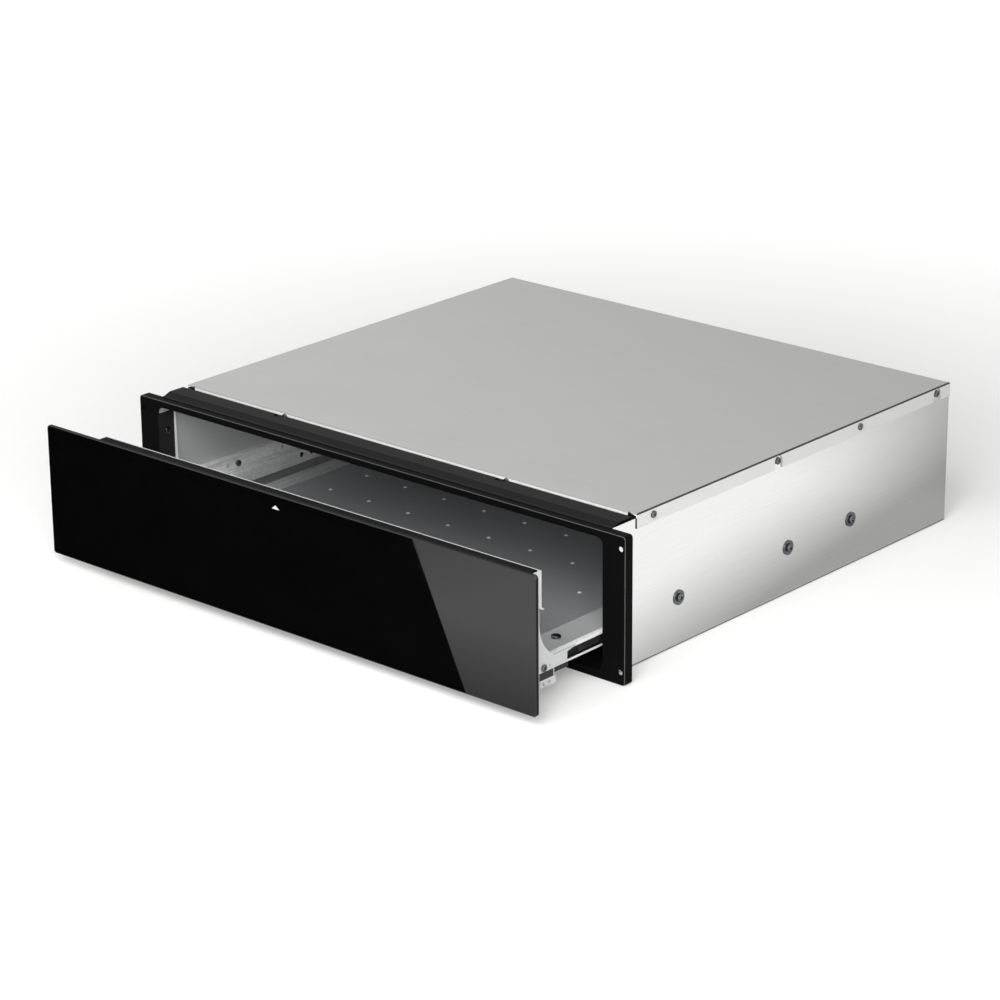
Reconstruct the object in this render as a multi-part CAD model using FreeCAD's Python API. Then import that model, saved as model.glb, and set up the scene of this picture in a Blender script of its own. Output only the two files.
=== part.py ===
import FreeCAD, Part
import math
import os

# Built-in dish warming drawer, 600 mm niche, 14 cm tall, standing 92 mm open.
# Millimetres. X to the right, Y to the rear, Z up.
# Origin: centre of the housing's underside.

# Housing
housing_width = 551.0      # over the side lips of the top cover
housing_height = 140.0
housing_depth = 512.0      # from the front of the frame to the back panel
panel_sheet = 1.0          # side, bottom and back panels
cover_sheet = 1.0
flange_width = 14.0        # inward flanges of the side panels
cover_setback = 42.0       # front lip of the cover behind the frame
lip_height = 13.5          # lips of the cover
lip_relief = 11.0          # corner cut at each end of the cover's front lip
lip_relief_lean = 2.0      # its slanted inner side
lip_relief_drop = 2.0      # its top falls towards the corner
bottom_rear_flange = 18.5  # upturned rear edge of the bottom panel
bend = 0.6                 # inside radius of a folded sheet
sheet_gap = 0.3            # between panels that meet edge to edge
running_gap = 0.3          # between pieces that pass each other
shaft_clearance = 0.05     # radial, of a turning or sliding fit
beyond = 1.0               # how far a cut runs past the face it starts from

# Black front frame
frame_flange = 21.5        # how far the frame reaches past the housing, each side
frame_drop = 4.0           # frame lower than the cover
frame_depth = 10.0
frame_sheet = 1.2
frame_corner = 3.0
frame_edge_radius = 1.0
opening_sill = 8.0
opening_head = 6.5
opening_corner = 7.0
tab_depth = 20.0           # side tabs bent back along the side panels
tab_head_gap = 8.0
tab_sill_gap = 4.0
fixing_inset_x = 5.0
fixing_inset_z = 11.8
fixing_hole_radius = 2.5

# Black strip between the frame and the cover
strip_sheet = 0.8
strip_rise = 2.6           # its underside above the frame
strip_overlap = 2.0        # how far it lies on the frame
strip_landing = 1.0
strip_ramp = 7.0
strip_gap = 5.5            # between its rear fold and the cover's lip
strip_notch_width = 9.0    # notches through which the front screws are driven
strip_notch_length = 6.0

# Drawer front
glass_width = 595.0
glass_height = 126.0
glass_thickness = 4.0
glass_corner = 3.0
glass_bevel = 0.5
glass_bottom = 10.0
tape_thickness = 0.8
tape_width = 14.0
tape_inset = 4.0
support_depth = 16.0
support_sheet = 1.0
support_corner = 1.5
support_inset_left = 56.5  # steel pan inside the glass's edges
support_inset_right = 15.5
support_inset_bottom = 5.0
support_inset_top = 4.5
inner_sheet = 1.2
inner_flange_height = 33.0  # forward flange at the right, upper part only
inner_flange_reach = 3.0   # its outer face past the pan's side
inner_flange_chamfer = 3.3 # height of the slanted corner below it
closed_gap = 2.0           # air between drawer front and frame, closed
rest_opening = 92.0

# Telescopic slides, seen on the right side
slide_thickness = 13.5     # from the side panel to the drawer rail's inboard face
rail_setback = 21.0        # front of the cabinet rail behind the frame's face
rail_rear_gap = 11.0
rail_sheet = 1.0
rail_bottom = 27.5
rail_height = 13.5
rail_mouth_gap = 0.8       # between the two facing channels
drawer_rail_setback = 4.0  # front of the drawer rail behind the drawer front
channel_width = 6.4
channel_lip = 1.0          # returned edge that keeps the balls in
web_height = 28.5          # of the cabinet rail's mounting web
web_lip = 5.5
ball_diameter = 2.3
ball_clearance = 0.05
balls_per_row = 3
ball_pitch = 44.0
cage_sheet = 0.5
cage_end = 6.0
cage_web_gap = 0.5         # between the cage's web and the middle rail's flange
cage_lip_reach = 0.15
pocket_clearance = 0.1
middle_shortening = 20.0   # middle rail shorter than the other two
middle_lead = 5.0          # middle rail ahead of the cabinet rail's front, closed
middle_notch_length = 8.0  # notch at the front of the middle rail, round the bracket's screw
middle_notch_spare = 0.6
middle_flange = 1.4
middle_web = 1.5
stop_rivet_radius = 3.0
stop_rivet_height = 1.4
stop_rivet_offset = 32.0
cage_open_margin = 6.0     # outer cage behind the cabinet channel's front, fully open
inner_cage_open = 30.0     # inner cage behind the middle rail's front, fully open
rail_hole_radius = 2.9
cabinet_holes = (68.0, 143.0, 205.0, 300.0)
cabinet_last_hole = 28.0   # from the rear end
drawer_rail_holes = (110.0, 249.0, 267.6, 282.0)
drawer_rail_last_hole = 30.0
drawer_rail_hole_rise = 2.0
slide_screw_offsets = (101.5, 260.5, 356.5)
slide_screw_rise = 18.1    # above the rail's underside
slide_screw_radius = 2.0
slide_head_radius = 4.0
slide_head_height = 2.6
washer_radius = 7.0
washer_thickness = 1.0
nut_radius = 3.1
nut_height = 2.6
thread_end = 0.4           # screw past its nut

# Front brackets, blocks and clips
bracket_sheet = 1.5
bracket_gap = 0.3          # between the bracket's foot and the drawer rail's mouth
bracket_foot_length = 52.5
bracket_foot_rise = 2.0
bracket_arm_depth = 16.5
bracket_fillet = 40.0
bracket_fillet_rise = 33.5 # fillet's centre above the rail
bracket_arm_height = 77.0
bracket_heel = 12.0
bracket_heel_drop = 2.7
bracket_flange = 22.0
bracket_flange_gap = 4.0
bracket_strap_overlap = 12.0
bracket_screw_offset = 22.0
bracket_screw_rise = 5.3
bracket_pin_offset = 29.7
bracket_pin_radius = 1.0
bracket_head_height = 1.7
flange_screw_inset = 13.0
flange_screw_top = 12.0
flange_screw_low = 20.0
strap_screw_inset = 5.0
block_width = 11.0
block_length = 32.3
block_height = 6.6
block_tail = 19.5
block_tail_height = 3.9
block_slot_spare = 0.4
clip_length = 20.0
clip_height = 6.8
clip_sheet = 1.2
clip_tail = 2.0            # how far the clip runs on behind its upright tab
clip_hole_radius = 1.5
clip_hole_pitch = 7.3
clip_hole_lead = 1.9       # holes ahead of the clip's middle
clip_hole_height = 3.1

# Tray
tray_gap_left = 23.0       # between the tray and the drawer rail
tray_gap_right = 10.0
tray_sheet = 1.0
tray_top = 30.0
tray_edge = 5.0
tray_end_inset = 2.0
tray_rear_height = 32.0
tray_front_height = 12.0
tray_margin = 0.4
floor_side_gap = 22.0      # from the tray's left fold to the plate
floor_sheet = 1.0
floor_margin = 1.0
pip_pitch = 50.8
pip_columns = 8
pip_rows = 8
pip_first_row = 23.6
pip_radius = 2.4
pip_top_radius = 1.1
pip_height = 0.9
trim_inset = 0.5
trim_width = 10.0
trim_height = 1.6
trim_sheet = 0.6
tray_screw_inset_left = 16.2
tray_screw_inset_right = 22.0
tray_screw_front = 84.6    # front screws and bearer behind the tray's front edge
tray_screw_rear = 62.0     # rear screws and bearer before its rear edge
tray_head_radius = 4.5
tray_head_height = 3.0
bearer_width = 24.0
bearer_sheet = 1.5
bearer_tab = 9.0
bearer_notch_spare = 1.0
striker_width = 24.0
striker_bottom = 9.0
striker_sheet = 1.2
striker_foot = 12.0

# Controls on the rear face of the drawer front
control_drop = 39.5        # below the top of the inner panel
knob_inset = 44.7          # from the right bracket
knob_radius = 14.0
knob_depth = 13.0
knob_skirt = 3.0
knob_grip_radius = 10.5
knob_flutes = 10
flute_radius = 2.6
flute_bite = 1.0
pointer_width = 1.6
pointer_height = 0.8
pointer_gap = 1.0
knob_shaft_radius = 3.0
knob_shaft_length = 9.0
thermostat_width = 34.0
thermostat_height = 40.0
thermostat_front_gap = 0.5
bush_radius = 4.4
bush_hole_spare = 0.1
switch_pitch = 46.0        # from the knob
switch_width = 13.0
switch_height = 19.0
switch_body_depth = 13.0
switch_wall = 2.5
switch_bezel_width = 1.5
switch_bezel_height = 1.2
switch_hole_spare = 0.1
rocker_rise = 2.6
rocker_margin = 0.7
rocker_valley = 1.3
rocker_tilt = 8.0          # each way from the middle
rocker_pivot_depth = 2.0
rocker_root_depth = 1.5
rocker_root_half = 3.0
rocker_pin_radius = 1.0
rocker_pin_reach = 1.6
lamp_pitch = 23.0
lamp_radius = 3.2
lamp_rim = 0.8
lamp_rise = 1.6
lamp_depth = 6.0

# Fan compartment
duct_offset = 80.0         # inner back wall in front of the rear face
duct_slot_width = 3.5
duct_slot_pitch = 9.0
intake_slots = 9
intake_radius = 38.0
outlet_inset = 101.5       # grille's middle from the side panel
outlet_slots = 9
outlet_slot_height = 46.0
outlet_z = 84.0
fan_z = 80.0
fan_gap = 12.0             # impeller behind the inner back wall
impeller_radius = 36.0
impeller_hub_radius = 11.0
impeller_hub_setback = 4.0
impeller_width = 20.0
impeller_disc = 1.5
impeller_blades = 16
blade_sheet = 1.2
blade_root_gap = 8.0
blade_tip_gap = 0.5
blade_angle = 35.0
fan_shaft_radius = 2.5
shaft_front = 3.0
shaft_tail = 5.0
motor_plate_offset = 37.0
motor_plate_half_width = 84.0
motor_plate_head_gap = 2.0
motor_boss_radius = 6.8
motor_boss_clearance = 0.2
stack_width = 58.0
stack_height = 46.0
stack_depth = 15.0
stack_corner = 4.0
stack_limb = 8.0
stack_cheek = 9.0
stack_drop = 28.5          # lower edge below the shaft
stack_window_drop = 15.0   # top of the coil's window below the shaft
bridge_inset = 4.0
bridge_half_height = 8.0
bridge_sheet = 1.5
coil_length = 26.0
coil_build = 5.0           # winding beyond the limb's faces
coil_corner = 3.0
bearing_radius = 9.0
bearing_depth = 7.0
rear_boss = 6.0
element_tube_radius = 3.1
element_ring_radius = 44.0
element_leg_half = 9.0
element_leg_tail = 12.0
element_hole_clearance = 0.3
cutout_radius = 8.0
cutout_height = 9.0
cutout_flange = 5.0
cutout_flange_half = 4.5
cutout_flange_sheet = 1.0
cutout_flange_corner = 3.0
cutout_x = 66.0
cutout_z = 60.0
terminal_inset = 68.5      # middle of the block from the side panel
terminal_rear_gap = 15.0
terminal_width = 46.0
terminal_height = 22.0
terminal_depth = 20.0
terminal_ways = 3
terminal_well_radius = 3.0
terminal_well_depth = 9.0
terminal_wire_radius = 2.4
terminal_wire_depth = 8.0
terminal_wire_rise = 8.0
terminal_barrier = 1.6
terminal_barrier_depth = 5.0
gland_inset = 47.5         # from the side panel
gland_z = 44.0
gland_radius = 9.5
gland_bore = 3.8
gland_length = 14.0
gland_groove_radius = 7.5
vent_slots = 10
vent_slot_width = 3.0
vent_slot_height = 26.0
vent_slot_pitch = 9.0
vent_z = 72.0
vent_inset = 123.5         # grille's middle from the side panel

# Push catch
catch_width = 34.0
catch_height = 23.0
catch_length = 14.3
catch_corner = 2.0
catch_travel = 5.0
catch_bore_spare = 5.0
catch_plunger_radius = 4.0
catch_plunger_tail = 4.0
catch_nose = 7.0
catch_nose_round = 1.5
catch_axis_z = 14.0

# Small screws
cover_screw_radius = 1.6
cover_screw_length = 5.0
cover_head_radius = 3.4
cover_head_height = 2.0
head_rim = 0.45            # straight share of a pan head's height
head_crown = 0.62          # crown's radius as a share of the head's
side_screw_starts = (22.0, 200.0)      # from the cover's front edge
side_screw_ends = (146.0, 21.5)        # from its rear edge
side_notch_width = 11.0
side_screw_drop = 6.2
front_screw_positions = (-145.0, 128.0)
front_screw_drop = 4.6
front_screw_tap = 1.0      # how far a front screw shows behind the strip's flange
rear_screw_positions = (-200.0, 0.0, 200.0)
tab_screw_offset = 11.5
tab_screw_drops = (18.5, 55.5)
tab_head_height = 1.6
back_screw_gap = 14.0      # corner screws of the back panel from its edges
tap_length = 2.0           # how far a screw shows past the last sheet

# Places that follow from the sizes above
frame_width = housing_width + 2 * frame_flange
frame_height = housing_height - frame_drop
opening_top = frame_height - opening_head
tab_top = opening_top - tab_head_gap
tab_bottom = opening_sill + tab_sill_gap
frame_y = -housing_depth / 2
rear_y = housing_depth / 2
cover_front_y = frame_y + cover_setback
cover_length = rear_y - cover_front_y
side_screw_offsets = side_screw_starts + tuple(cover_length - gap for gap in side_screw_ends)
side_outer = housing_width / 2 - cover_sheet
side_inner = side_outer - panel_sheet
cover_under = housing_height - cover_sheet
tab_inner = side_inner - frame_sheet
panel_y = frame_y - rest_opening - closed_gap       # rear face of the drawer front
support_y = panel_y - inner_sheet - support_depth   # front face of the drawer front's pan
glass_y = support_y - tape_thickness - glass_thickness
support_left = -glass_width / 2 + support_inset_left
support_right = glass_width / 2 - support_inset_right
support_bottom = glass_bottom + support_inset_bottom
support_top = glass_bottom + glass_height - support_inset_top
rail_top = rail_bottom + rail_height
rail_middle_z = rail_bottom + rail_height / 2
web_top = rail_bottom + web_height
cabinet_rail_front = frame_y + rail_setback
duct_y = rear_y - duct_offset
rail_length = duct_y - rail_rear_gap - cabinet_rail_front
middle_length = rail_length - middle_shortening
full_travel = rail_length
drawer_rail_front = panel_y + drawer_rail_setback
drawer_rail_web = side_inner - slide_thickness      # inboard face of the drawer rail
cabinet_web = side_inner - rail_sheet
channel_mouth = drawer_rail_web + channel_width
cabinet_mouth = channel_mouth + rail_mouth_gap
slide_screw_z = rail_bottom + slide_screw_rise
bracket_x = channel_mouth + bracket_gap
bracket_outer = bracket_x + bracket_sheet
bracket_top = rail_top + bracket_arm_height
bracket_screw_z = rail_bottom + bracket_screw_rise
foot_end = panel_y + bracket_foot_length + bracket_heel
channel_front = foot_end + rest_opening + beyond    # cabinet channel starts behind the closed drawer's foot
middle_front_closed = cabinet_rail_front - middle_lead
middle_nose = channel_front - middle_front_closed   # stretch of the middle rail with its inner flange alone
motor_plate_y = rear_y - motor_plate_offset
fan_front_y = duct_y + fan_gap
tray_left = -drawer_rail_web + tray_gap_left
floor_half_width = -tray_left - floor_side_gap
tray_right = drawer_rail_web - tray_gap_right
tray_under = tray_top - tray_sheet
tray_front_y = panel_y + tray_margin
catch_face_y = duct_y - catch_length
catch_nose_y = catch_face_y - catch_nose
tray_rear_y = catch_nose_y - running_gap - rest_opening
knob_x = bracket_x - knob_inset
knob_z = support_top - control_drop
switch_x = knob_x - switch_pitch
lamp_x = knob_x - lamp_pitch
rocker_pivot_y = panel_y - rocker_pivot_depth
gland_x = -side_inner + gland_inset
terminal_x = -side_inner + terminal_inset
screw_z = housing_height - side_screw_drop          # side and rear screws of the cover
front_screw_z = housing_height - front_screw_drop
back_screw_x = side_outer - flange_width / 2


def place(axis, u, v, w):
    """A point from two profile coordinates and one along the axis."""
    if axis == "x":
        return FreeCAD.Vector(w, u, v)
    if axis == "y":
        return FreeCAD.Vector(u, w, v)
    return FreeCAD.Vector(u, v, w)


def direction(axis, length):
    return place(axis, 0.0, 0.0, length)


def box(x0, x1, y0, y1, z0, z1):
    low = FreeCAD.Vector(min(x0, x1), min(y0, y1), min(z0, z1))
    return Part.makeBox(abs(x1 - x0), abs(y1 - y0), abs(z1 - z0), low)


def rod(axis, u, v, start, end, radius):
    """A round bar along an axis."""
    low = min(start, end)
    return Part.makeCylinder(radius, abs(end - start), place(axis, u, v, low), direction(axis, 1.0))


def mirrored(shape):
    return shape.mirror(FreeCAD.Vector(0, 0, 0), FreeCAD.Vector(1, 0, 0))


def profile_face(points, radii, axis, at):
    """A closed profile whose corners are rounded by their own radii."""
    count = len(points)
    edges = []
    joints = []
    for index in range(count):
        before = points[index - 1]
        corner = points[index]
        after = points[(index + 1) % count]
        radius = radii[index]
        if radius <= 0:
            joints.append((corner, None, corner))
            continue
        first = (before[0] - corner[0], before[1] - corner[1])
        second = (after[0] - corner[0], after[1] - corner[1])
        first_length = math.hypot(*first)
        second_length = math.hypot(*second)
        first = (first[0] / first_length, first[1] / first_length)
        second = (second[0] / second_length, second[1] / second_length)
        half = math.acos(max(-1.0, min(1.0, first[0] * second[0] + first[1] * second[1]))) / 2
        reach = radius / math.tan(half)
        middle = (first[0] + second[0], first[1] + second[1])
        middle_length = math.hypot(*middle)
        depth = radius / math.sin(half) - radius
        joints.append((
            (corner[0] + first[0] * reach, corner[1] + first[1] * reach),
            (corner[0] + middle[0] / middle_length * depth, corner[1] + middle[1] / middle_length * depth),
            (corner[0] + second[0] * reach, corner[1] + second[1] * reach),
        ))
    for index in range(count):
        start, middle, end = joints[index]
        if middle:
            arc = Part.Arc(place(axis, *start, at), place(axis, *middle, at), place(axis, *end, at))
            edges.append(arc.toShape())
        following = joints[(index + 1) % count][0]
        if math.dist(end, following) > 1e-6:
            line = Part.LineSegment(place(axis, *end, at), place(axis, *following, at))
            edges.append(line.toShape())
    return Part.Face(Part.Wire(edges))


def prism(points, axis, start, end, radii=None):
    """A profile pulled along an axis."""
    radii = radii or [0.0] * len(points)
    return profile_face(points, radii, axis, start).extrude(direction(axis, end - start))


def folded_sheet(path, thickness, axis, start, end, inside=bend):
    """A bent sheet: the path is one face, the metal lies to its left."""
    normals = []
    for first, second in zip(path, path[1:]):
        length = math.dist(first, second)
        normals.append((-(second[1] - first[1]) / length, (second[0] - first[0]) / length))
    other = []
    for index, point in enumerate(path):
        near = normals[max(index - 1, 0)]
        far = normals[min(index, len(normals) - 1)]
        scale = thickness / (1 + near[0] * far[0] + near[1] * far[1])
        other.append((point[0] + (near[0] + far[0]) * scale, point[1] + (near[1] + far[1]) * scale))
    path_radii = [0.0] * len(path)
    other_radii = [0.0] * len(path)
    for index in range(1, len(path) - 1):
        near = normals[index - 1]
        far = normals[index]
        turns_left = near[0] * far[1] - near[1] * far[0] > 0
        path_radii[index] = inside + thickness if turns_left else inside
        other_radii[index] = inside if turns_left else inside + thickness
    points = path + other[::-1]
    radii = path_radii + other_radii[::-1]
    return prism(points, axis, start, end, radii)


def rectangle(u0, u1, v0, v1):
    return [(u0, v0), (u1, v0), (u1, v1), (u0, v1)]


def rounded_plate(axis, u0, u1, v0, v1, start, end, radius):
    return prism(rectangle(u0, u1, v0, v1), axis, start, end, [radius] * 4)


def slot(axis, u, v, width, height, start, end):
    """A round-ended slot standing along the second profile coordinate."""
    half = width / 2
    reach = height / 2 - half
    corners = [(u + half, v - reach), (u + half, v + reach), (u - half, v + reach), (u - half, v - reach)]
    tips = [(u, v + reach + half), (u, v - reach - half)]
    points = [place(axis, *corner, start) for corner in corners]
    edges = [
        Part.LineSegment(points[0], points[1]).toShape(),
        Part.Arc(points[1], place(axis, *tips[0], start), points[2]).toShape(),
        Part.LineSegment(points[2], points[3]).toShape(),
        Part.Arc(points[3], place(axis, *tips[1], start), points[0]).toShape(),
    ]
    return Part.Face(Part.Wire(edges)).extrude(direction(axis, end - start))


def pan_screw(axis, u, v, seat, side, head_radius, head_height, shank_radius, length):
    """A pan-head screw: the head stands on the seat towards side, the shank goes the other way."""
    rim = head_height * head_rim
    head = rod(axis, u, v, seat, seat + side * rim, head_radius)
    crown_base = place(axis, u, v, seat + side * rim)
    crown = Part.makeCone(head_radius, head_radius * head_crown, head_height - rim, crown_base,
                          direction(axis, side))
    shank = rod(axis, u, v, seat, seat - side * length, shank_radius)
    return head.fuse([crown, shank]).removeSplitter()


def group(shapes):
    return Part.makeCompound(shapes)


def both_sides(shape):
    return [shape, mirrored(shape)]


# Housing panels

def side_panel():
    """Right side panel with its inward bottom, top and rear flanges."""
    inboard = side_outer - flange_width
    path = [(inboard, panel_sheet), (side_outer, panel_sheet), (side_outer, cover_under),
            (inboard, cover_under)]
    start = frame_y + frame_sheet
    end = rear_y - panel_sheet
    panel = folded_sheet(path, panel_sheet, "y", start, end)
    frame_back = frame_y + frame_depth + sheet_gap
    under_frame = frame_height - frame_sheet - sheet_gap
    cuts = [
        box(inboard - beyond, side_outer + beyond, start - beyond, frame_back, under_frame, housing_height),
        box(inboard - beyond, side_outer + beyond, start - beyond, cover_front_y + cover_sheet + bend,
            frame_height, housing_height),
        box(inboard - beyond, side_outer + beyond, start - beyond, frame_back, 0, frame_sheet + sheet_gap),
        box(inboard - beyond, side_inner, start - beyond, frame_back, 0, 2 * panel_sheet + bend),
    ]
    flange_end = end - panel_sheet - bend
    rear_low = 2 * panel_sheet + bend
    rear_high = cover_under - panel_sheet - bend
    cuts.append(box(inboard - beyond, side_inner - bend, flange_end, end + beyond, 0, rear_low))
    cuts.append(box(inboard - beyond, side_inner - bend, flange_end, end + beyond, rear_high, housing_height))
    cuts.append(box(side_inner - bend, side_outer + beyond, flange_end, end + beyond, cover_under - bend,
                    housing_height))
    cuts.append(box(side_inner - bend, side_outer + beyond, flange_end, end + beyond, 0, panel_sheet + bend))
    rear = box(inboard, side_inner, end - panel_sheet, end, rear_low, rear_high)
    panel = panel.cut(cuts).fuse(rear).removeSplitter()
    low = side_inner - beyond
    high = side_outer + beyond
    holes = []
    for offset in slide_screw_offsets:
        holes.append(rod("x", frame_y + offset, slide_screw_z, low, high, slide_screw_radius))
    for height in tab_screw_heights():
        holes.append(rod("x", frame_y + tab_screw_offset, height, low, high, cover_screw_radius))
    for offset in side_screw_offsets:
        holes.append(rod("x", cover_front_y + offset, screw_z, low, high, cover_screw_radius))
    for height in back_screw_heights():
        holes.append(rod("y", back_screw_x, height, end - 2 * panel_sheet, end + beyond, cover_screw_radius))
    return panel.cut(holes)


def tab_screw_heights():
    return [tab_top - drop for drop in tab_screw_drops]


def back_screw_heights():
    """The two screws on each edge of the back panel."""
    return (bottom_rear_flange + back_screw_gap, housing_height - lip_height - back_screw_gap)


def bottom_panel():
    """Flat base with an upturned rear edge."""
    start = frame_y + frame_depth + sheet_gap
    path = [(start, 0.0), (rear_y, 0.0), (rear_y, bottom_rear_flange)]
    return folded_sheet(path, panel_sheet, "x", -side_outer, side_outer)


def back_panel():
    """Back plate with cooling slots and the hole of the cord gland."""
    low = bottom_rear_flange + sheet_gap
    high = housing_height - lip_height - sheet_gap
    plate = box(-side_outer, side_outer, rear_y - panel_sheet, rear_y, low, high)
    front = rear_y - panel_sheet - beyond
    back = rear_y + beyond
    cuts = []
    for side in (-1, 1):
        for index in range(vent_slots):
            x = side * (side_inner - vent_inset) + (index - (vent_slots - 1) / 2) * vent_slot_pitch
            cuts.append(slot("y", x, vent_z, vent_slot_width, vent_slot_height, front, back))
        for height in back_screw_heights():
            cuts.append(rod("y", side * back_screw_x, height, front, back, cover_screw_radius))
    cuts.append(rod("y", gland_x, gland_z, front, back, gland_groove_radius))
    return plate.cut(cuts)


def top_cover():
    """Top cover: a shallow lid with lips on all four sides."""
    half = housing_width / 2
    low = housing_height - lip_height
    lid = box(-half, half, cover_front_y, rear_y, low, housing_height)
    top_edges = [edge for edge in lid.Edges if on_plane(edge.CenterOfMass.z, housing_height)]
    lid = lid.makeFillet(bend + cover_sheet, top_edges)
    hollow = box(-side_outer, side_outer, cover_front_y + cover_sheet, rear_y - cover_sheet, low - beyond,
                 cover_under)
    hollow_edges = [edge for edge in hollow.Edges if on_plane(edge.CenterOfMass.z, cover_under)]
    lid = lid.cut(hollow.makeFillet(bend, hollow_edges))
    inner = side_outer - lip_relief
    relief = [(inner, low - beyond), (inner + lip_relief_lean, housing_height),
              (side_outer, housing_height - lip_relief_drop), (side_outer, low - beyond)]
    cuts = both_sides(prism(relief, "y", cover_front_y - beyond, cover_front_y + cover_sheet))
    inside = side_outer - beyond
    outside = half + beyond
    for index, offset in enumerate(side_screw_offsets):
        y = cover_front_y + offset
        if index % 2:
            radius = side_notch_width / 2
            notch = box(inside, outside, y - radius, y + radius, low - beyond, screw_z)
            notch = notch.fuse(rod("x", y, screw_z, inside, outside, radius))
            cuts += both_sides(notch)
        else:
            cuts += both_sides(rod("x", y, screw_z, inside, outside, cover_screw_radius))
    for x in front_screw_positions:
        cuts.append(rod("y", x, front_screw_z, cover_front_y - beyond, cover_front_y + 2 * cover_sheet,
                        cover_screw_radius))
    for x in rear_screw_positions:
        cuts.append(rod("y", x, screw_z, rear_y - 2 * cover_sheet, rear_y + beyond, cover_screw_radius))
    return lid.cut(cuts)


def on_plane(value, plane):
    return abs(value - plane) < 0.01


def front_frame():
    """Black frame: a shallow pan with returned edges, the drawer's opening and two side tabs."""
    half = frame_width / 2
    back = frame_y + frame_depth
    pan = rounded_plate("y", -half, half, 0, frame_height, frame_y, back, frame_corner)
    front_edges = [edge for edge in pan.Edges if on_plane(edge.CenterOfMass.y, frame_y)]
    pan = pan.makeFillet(frame_edge_radius, front_edges)
    inner = half - frame_sheet
    pocket = rounded_plate("y", -inner, inner, frame_sheet, frame_height - frame_sheet, frame_y + frame_sheet,
                           back + beyond, frame_corner - frame_sheet)
    mouth = rounded_plate("y", -tab_inner, tab_inner, opening_sill, opening_top, frame_y - beyond, back,
                          opening_corner)
    frame = pan.cut([pocket, mouth])
    tab = box(tab_inner, side_inner, frame_y + frame_edge_radius, frame_y + tab_depth, tab_bottom, tab_top)
    root = box(tab_inner, side_inner + beyond, frame_y, frame_y + frame_sheet, tab_bottom, tab_top)
    frame = frame.fuse(both_sides(tab.fuse(root))).removeSplitter()
    holes = []
    for x in (-frame_width / 2 + fixing_inset_x, frame_width / 2 - fixing_inset_x):
        for z in (fixing_inset_z, frame_height - fixing_inset_z):
            holes.append(rod("y", x, z, frame_y - beyond, frame_y + 2 * frame_sheet, fixing_hole_radius))
    for height in tab_screw_heights():
        hole = rod("x", frame_y + tab_screw_offset, height, tab_inner - beyond, side_inner + beyond,
                   cover_screw_radius)
        holes += both_sides(hole)
    return frame.cut(holes)


def top_strip():
    """Black strip over the step between frame and cover, hooked under and behind the cover's lip."""
    start = frame_y + frame_depth - strip_overlap
    foot = frame_y + frame_depth + strip_landing
    crest = cover_front_y - strip_gap
    back = cover_front_y + cover_sheet
    under = housing_height - lip_height - bend - sheet_gap
    tip = cover_under - panel_sheet - sheet_gap
    landing = frame_height + strip_sheet
    high = landing + strip_rise
    path = [(back, tip), (back, under), (crest, under), (crest, high), (foot + strip_ramp, high),
            (foot, landing), (start, landing)]
    strip = folded_sheet(path, strip_sheet, "x", -side_outer, side_outer)
    end = side_inner - sheet_gap
    outside = side_outer + beyond
    low = under - strip_sheet - beyond
    rear = back + strip_sheet + beyond
    fold = crest - strip_sheet - bend - sheet_gap
    cuts = both_sides(box(end, outside, fold, rear, low, frame_height + sheet_gap))
    cuts += both_sides(box(end, outside, cover_front_y - sheet_gap, rear, low, high))
    half = strip_notch_width / 2
    for x in front_screw_positions:
        cuts.append(box(x - half, x + half, crest - strip_notch_length, cover_front_y - sheet_gap,
                        front_screw_z - half, high + beyond))
        cuts.append(rod("y", x, front_screw_z, cover_front_y, rear, cover_screw_radius))
    return strip.cut(cuts)


def small_screw(axis, u, v, seat, side, head_height=cover_head_height, length=cover_screw_length):
    return pan_screw(axis, u, v, seat, side, cover_head_radius, head_height, cover_screw_radius, length)


def cover_screws():
    """All the small pan-head screws of the cover and the back panel."""
    screws = []
    for index, offset in enumerate(side_screw_offsets):
        seat = side_outer if index % 2 else housing_width / 2
        screws += both_sides(small_screw("x", cover_front_y + offset, screw_z, seat, 1))
    through = cover_sheet + strip_sheet + front_screw_tap
    for x in front_screw_positions:
        screws.append(small_screw("y", x, front_screw_z, cover_front_y, -1, length=through))
    for x in rear_screw_positions:
        screws.append(small_screw("y", x, screw_z, rear_y, 1))
    for height in back_screw_heights():
        screws += both_sides(small_screw("y", back_screw_x, height, rear_y, 1))
    return group(screws)


def frame_screws():
    """Cross-head screws that hold the frame's tabs to the side panels, heads inside."""
    screws = []
    length = frame_sheet + panel_sheet
    for height in tab_screw_heights():
        screw = small_screw("x", frame_y + tab_screw_offset, height, tab_inner, -1, tab_head_height, length)
        screws += both_sides(screw)
    return group(screws)


# Telescopic slides: two facing channels with a double-flanged rail and balls between them

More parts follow.
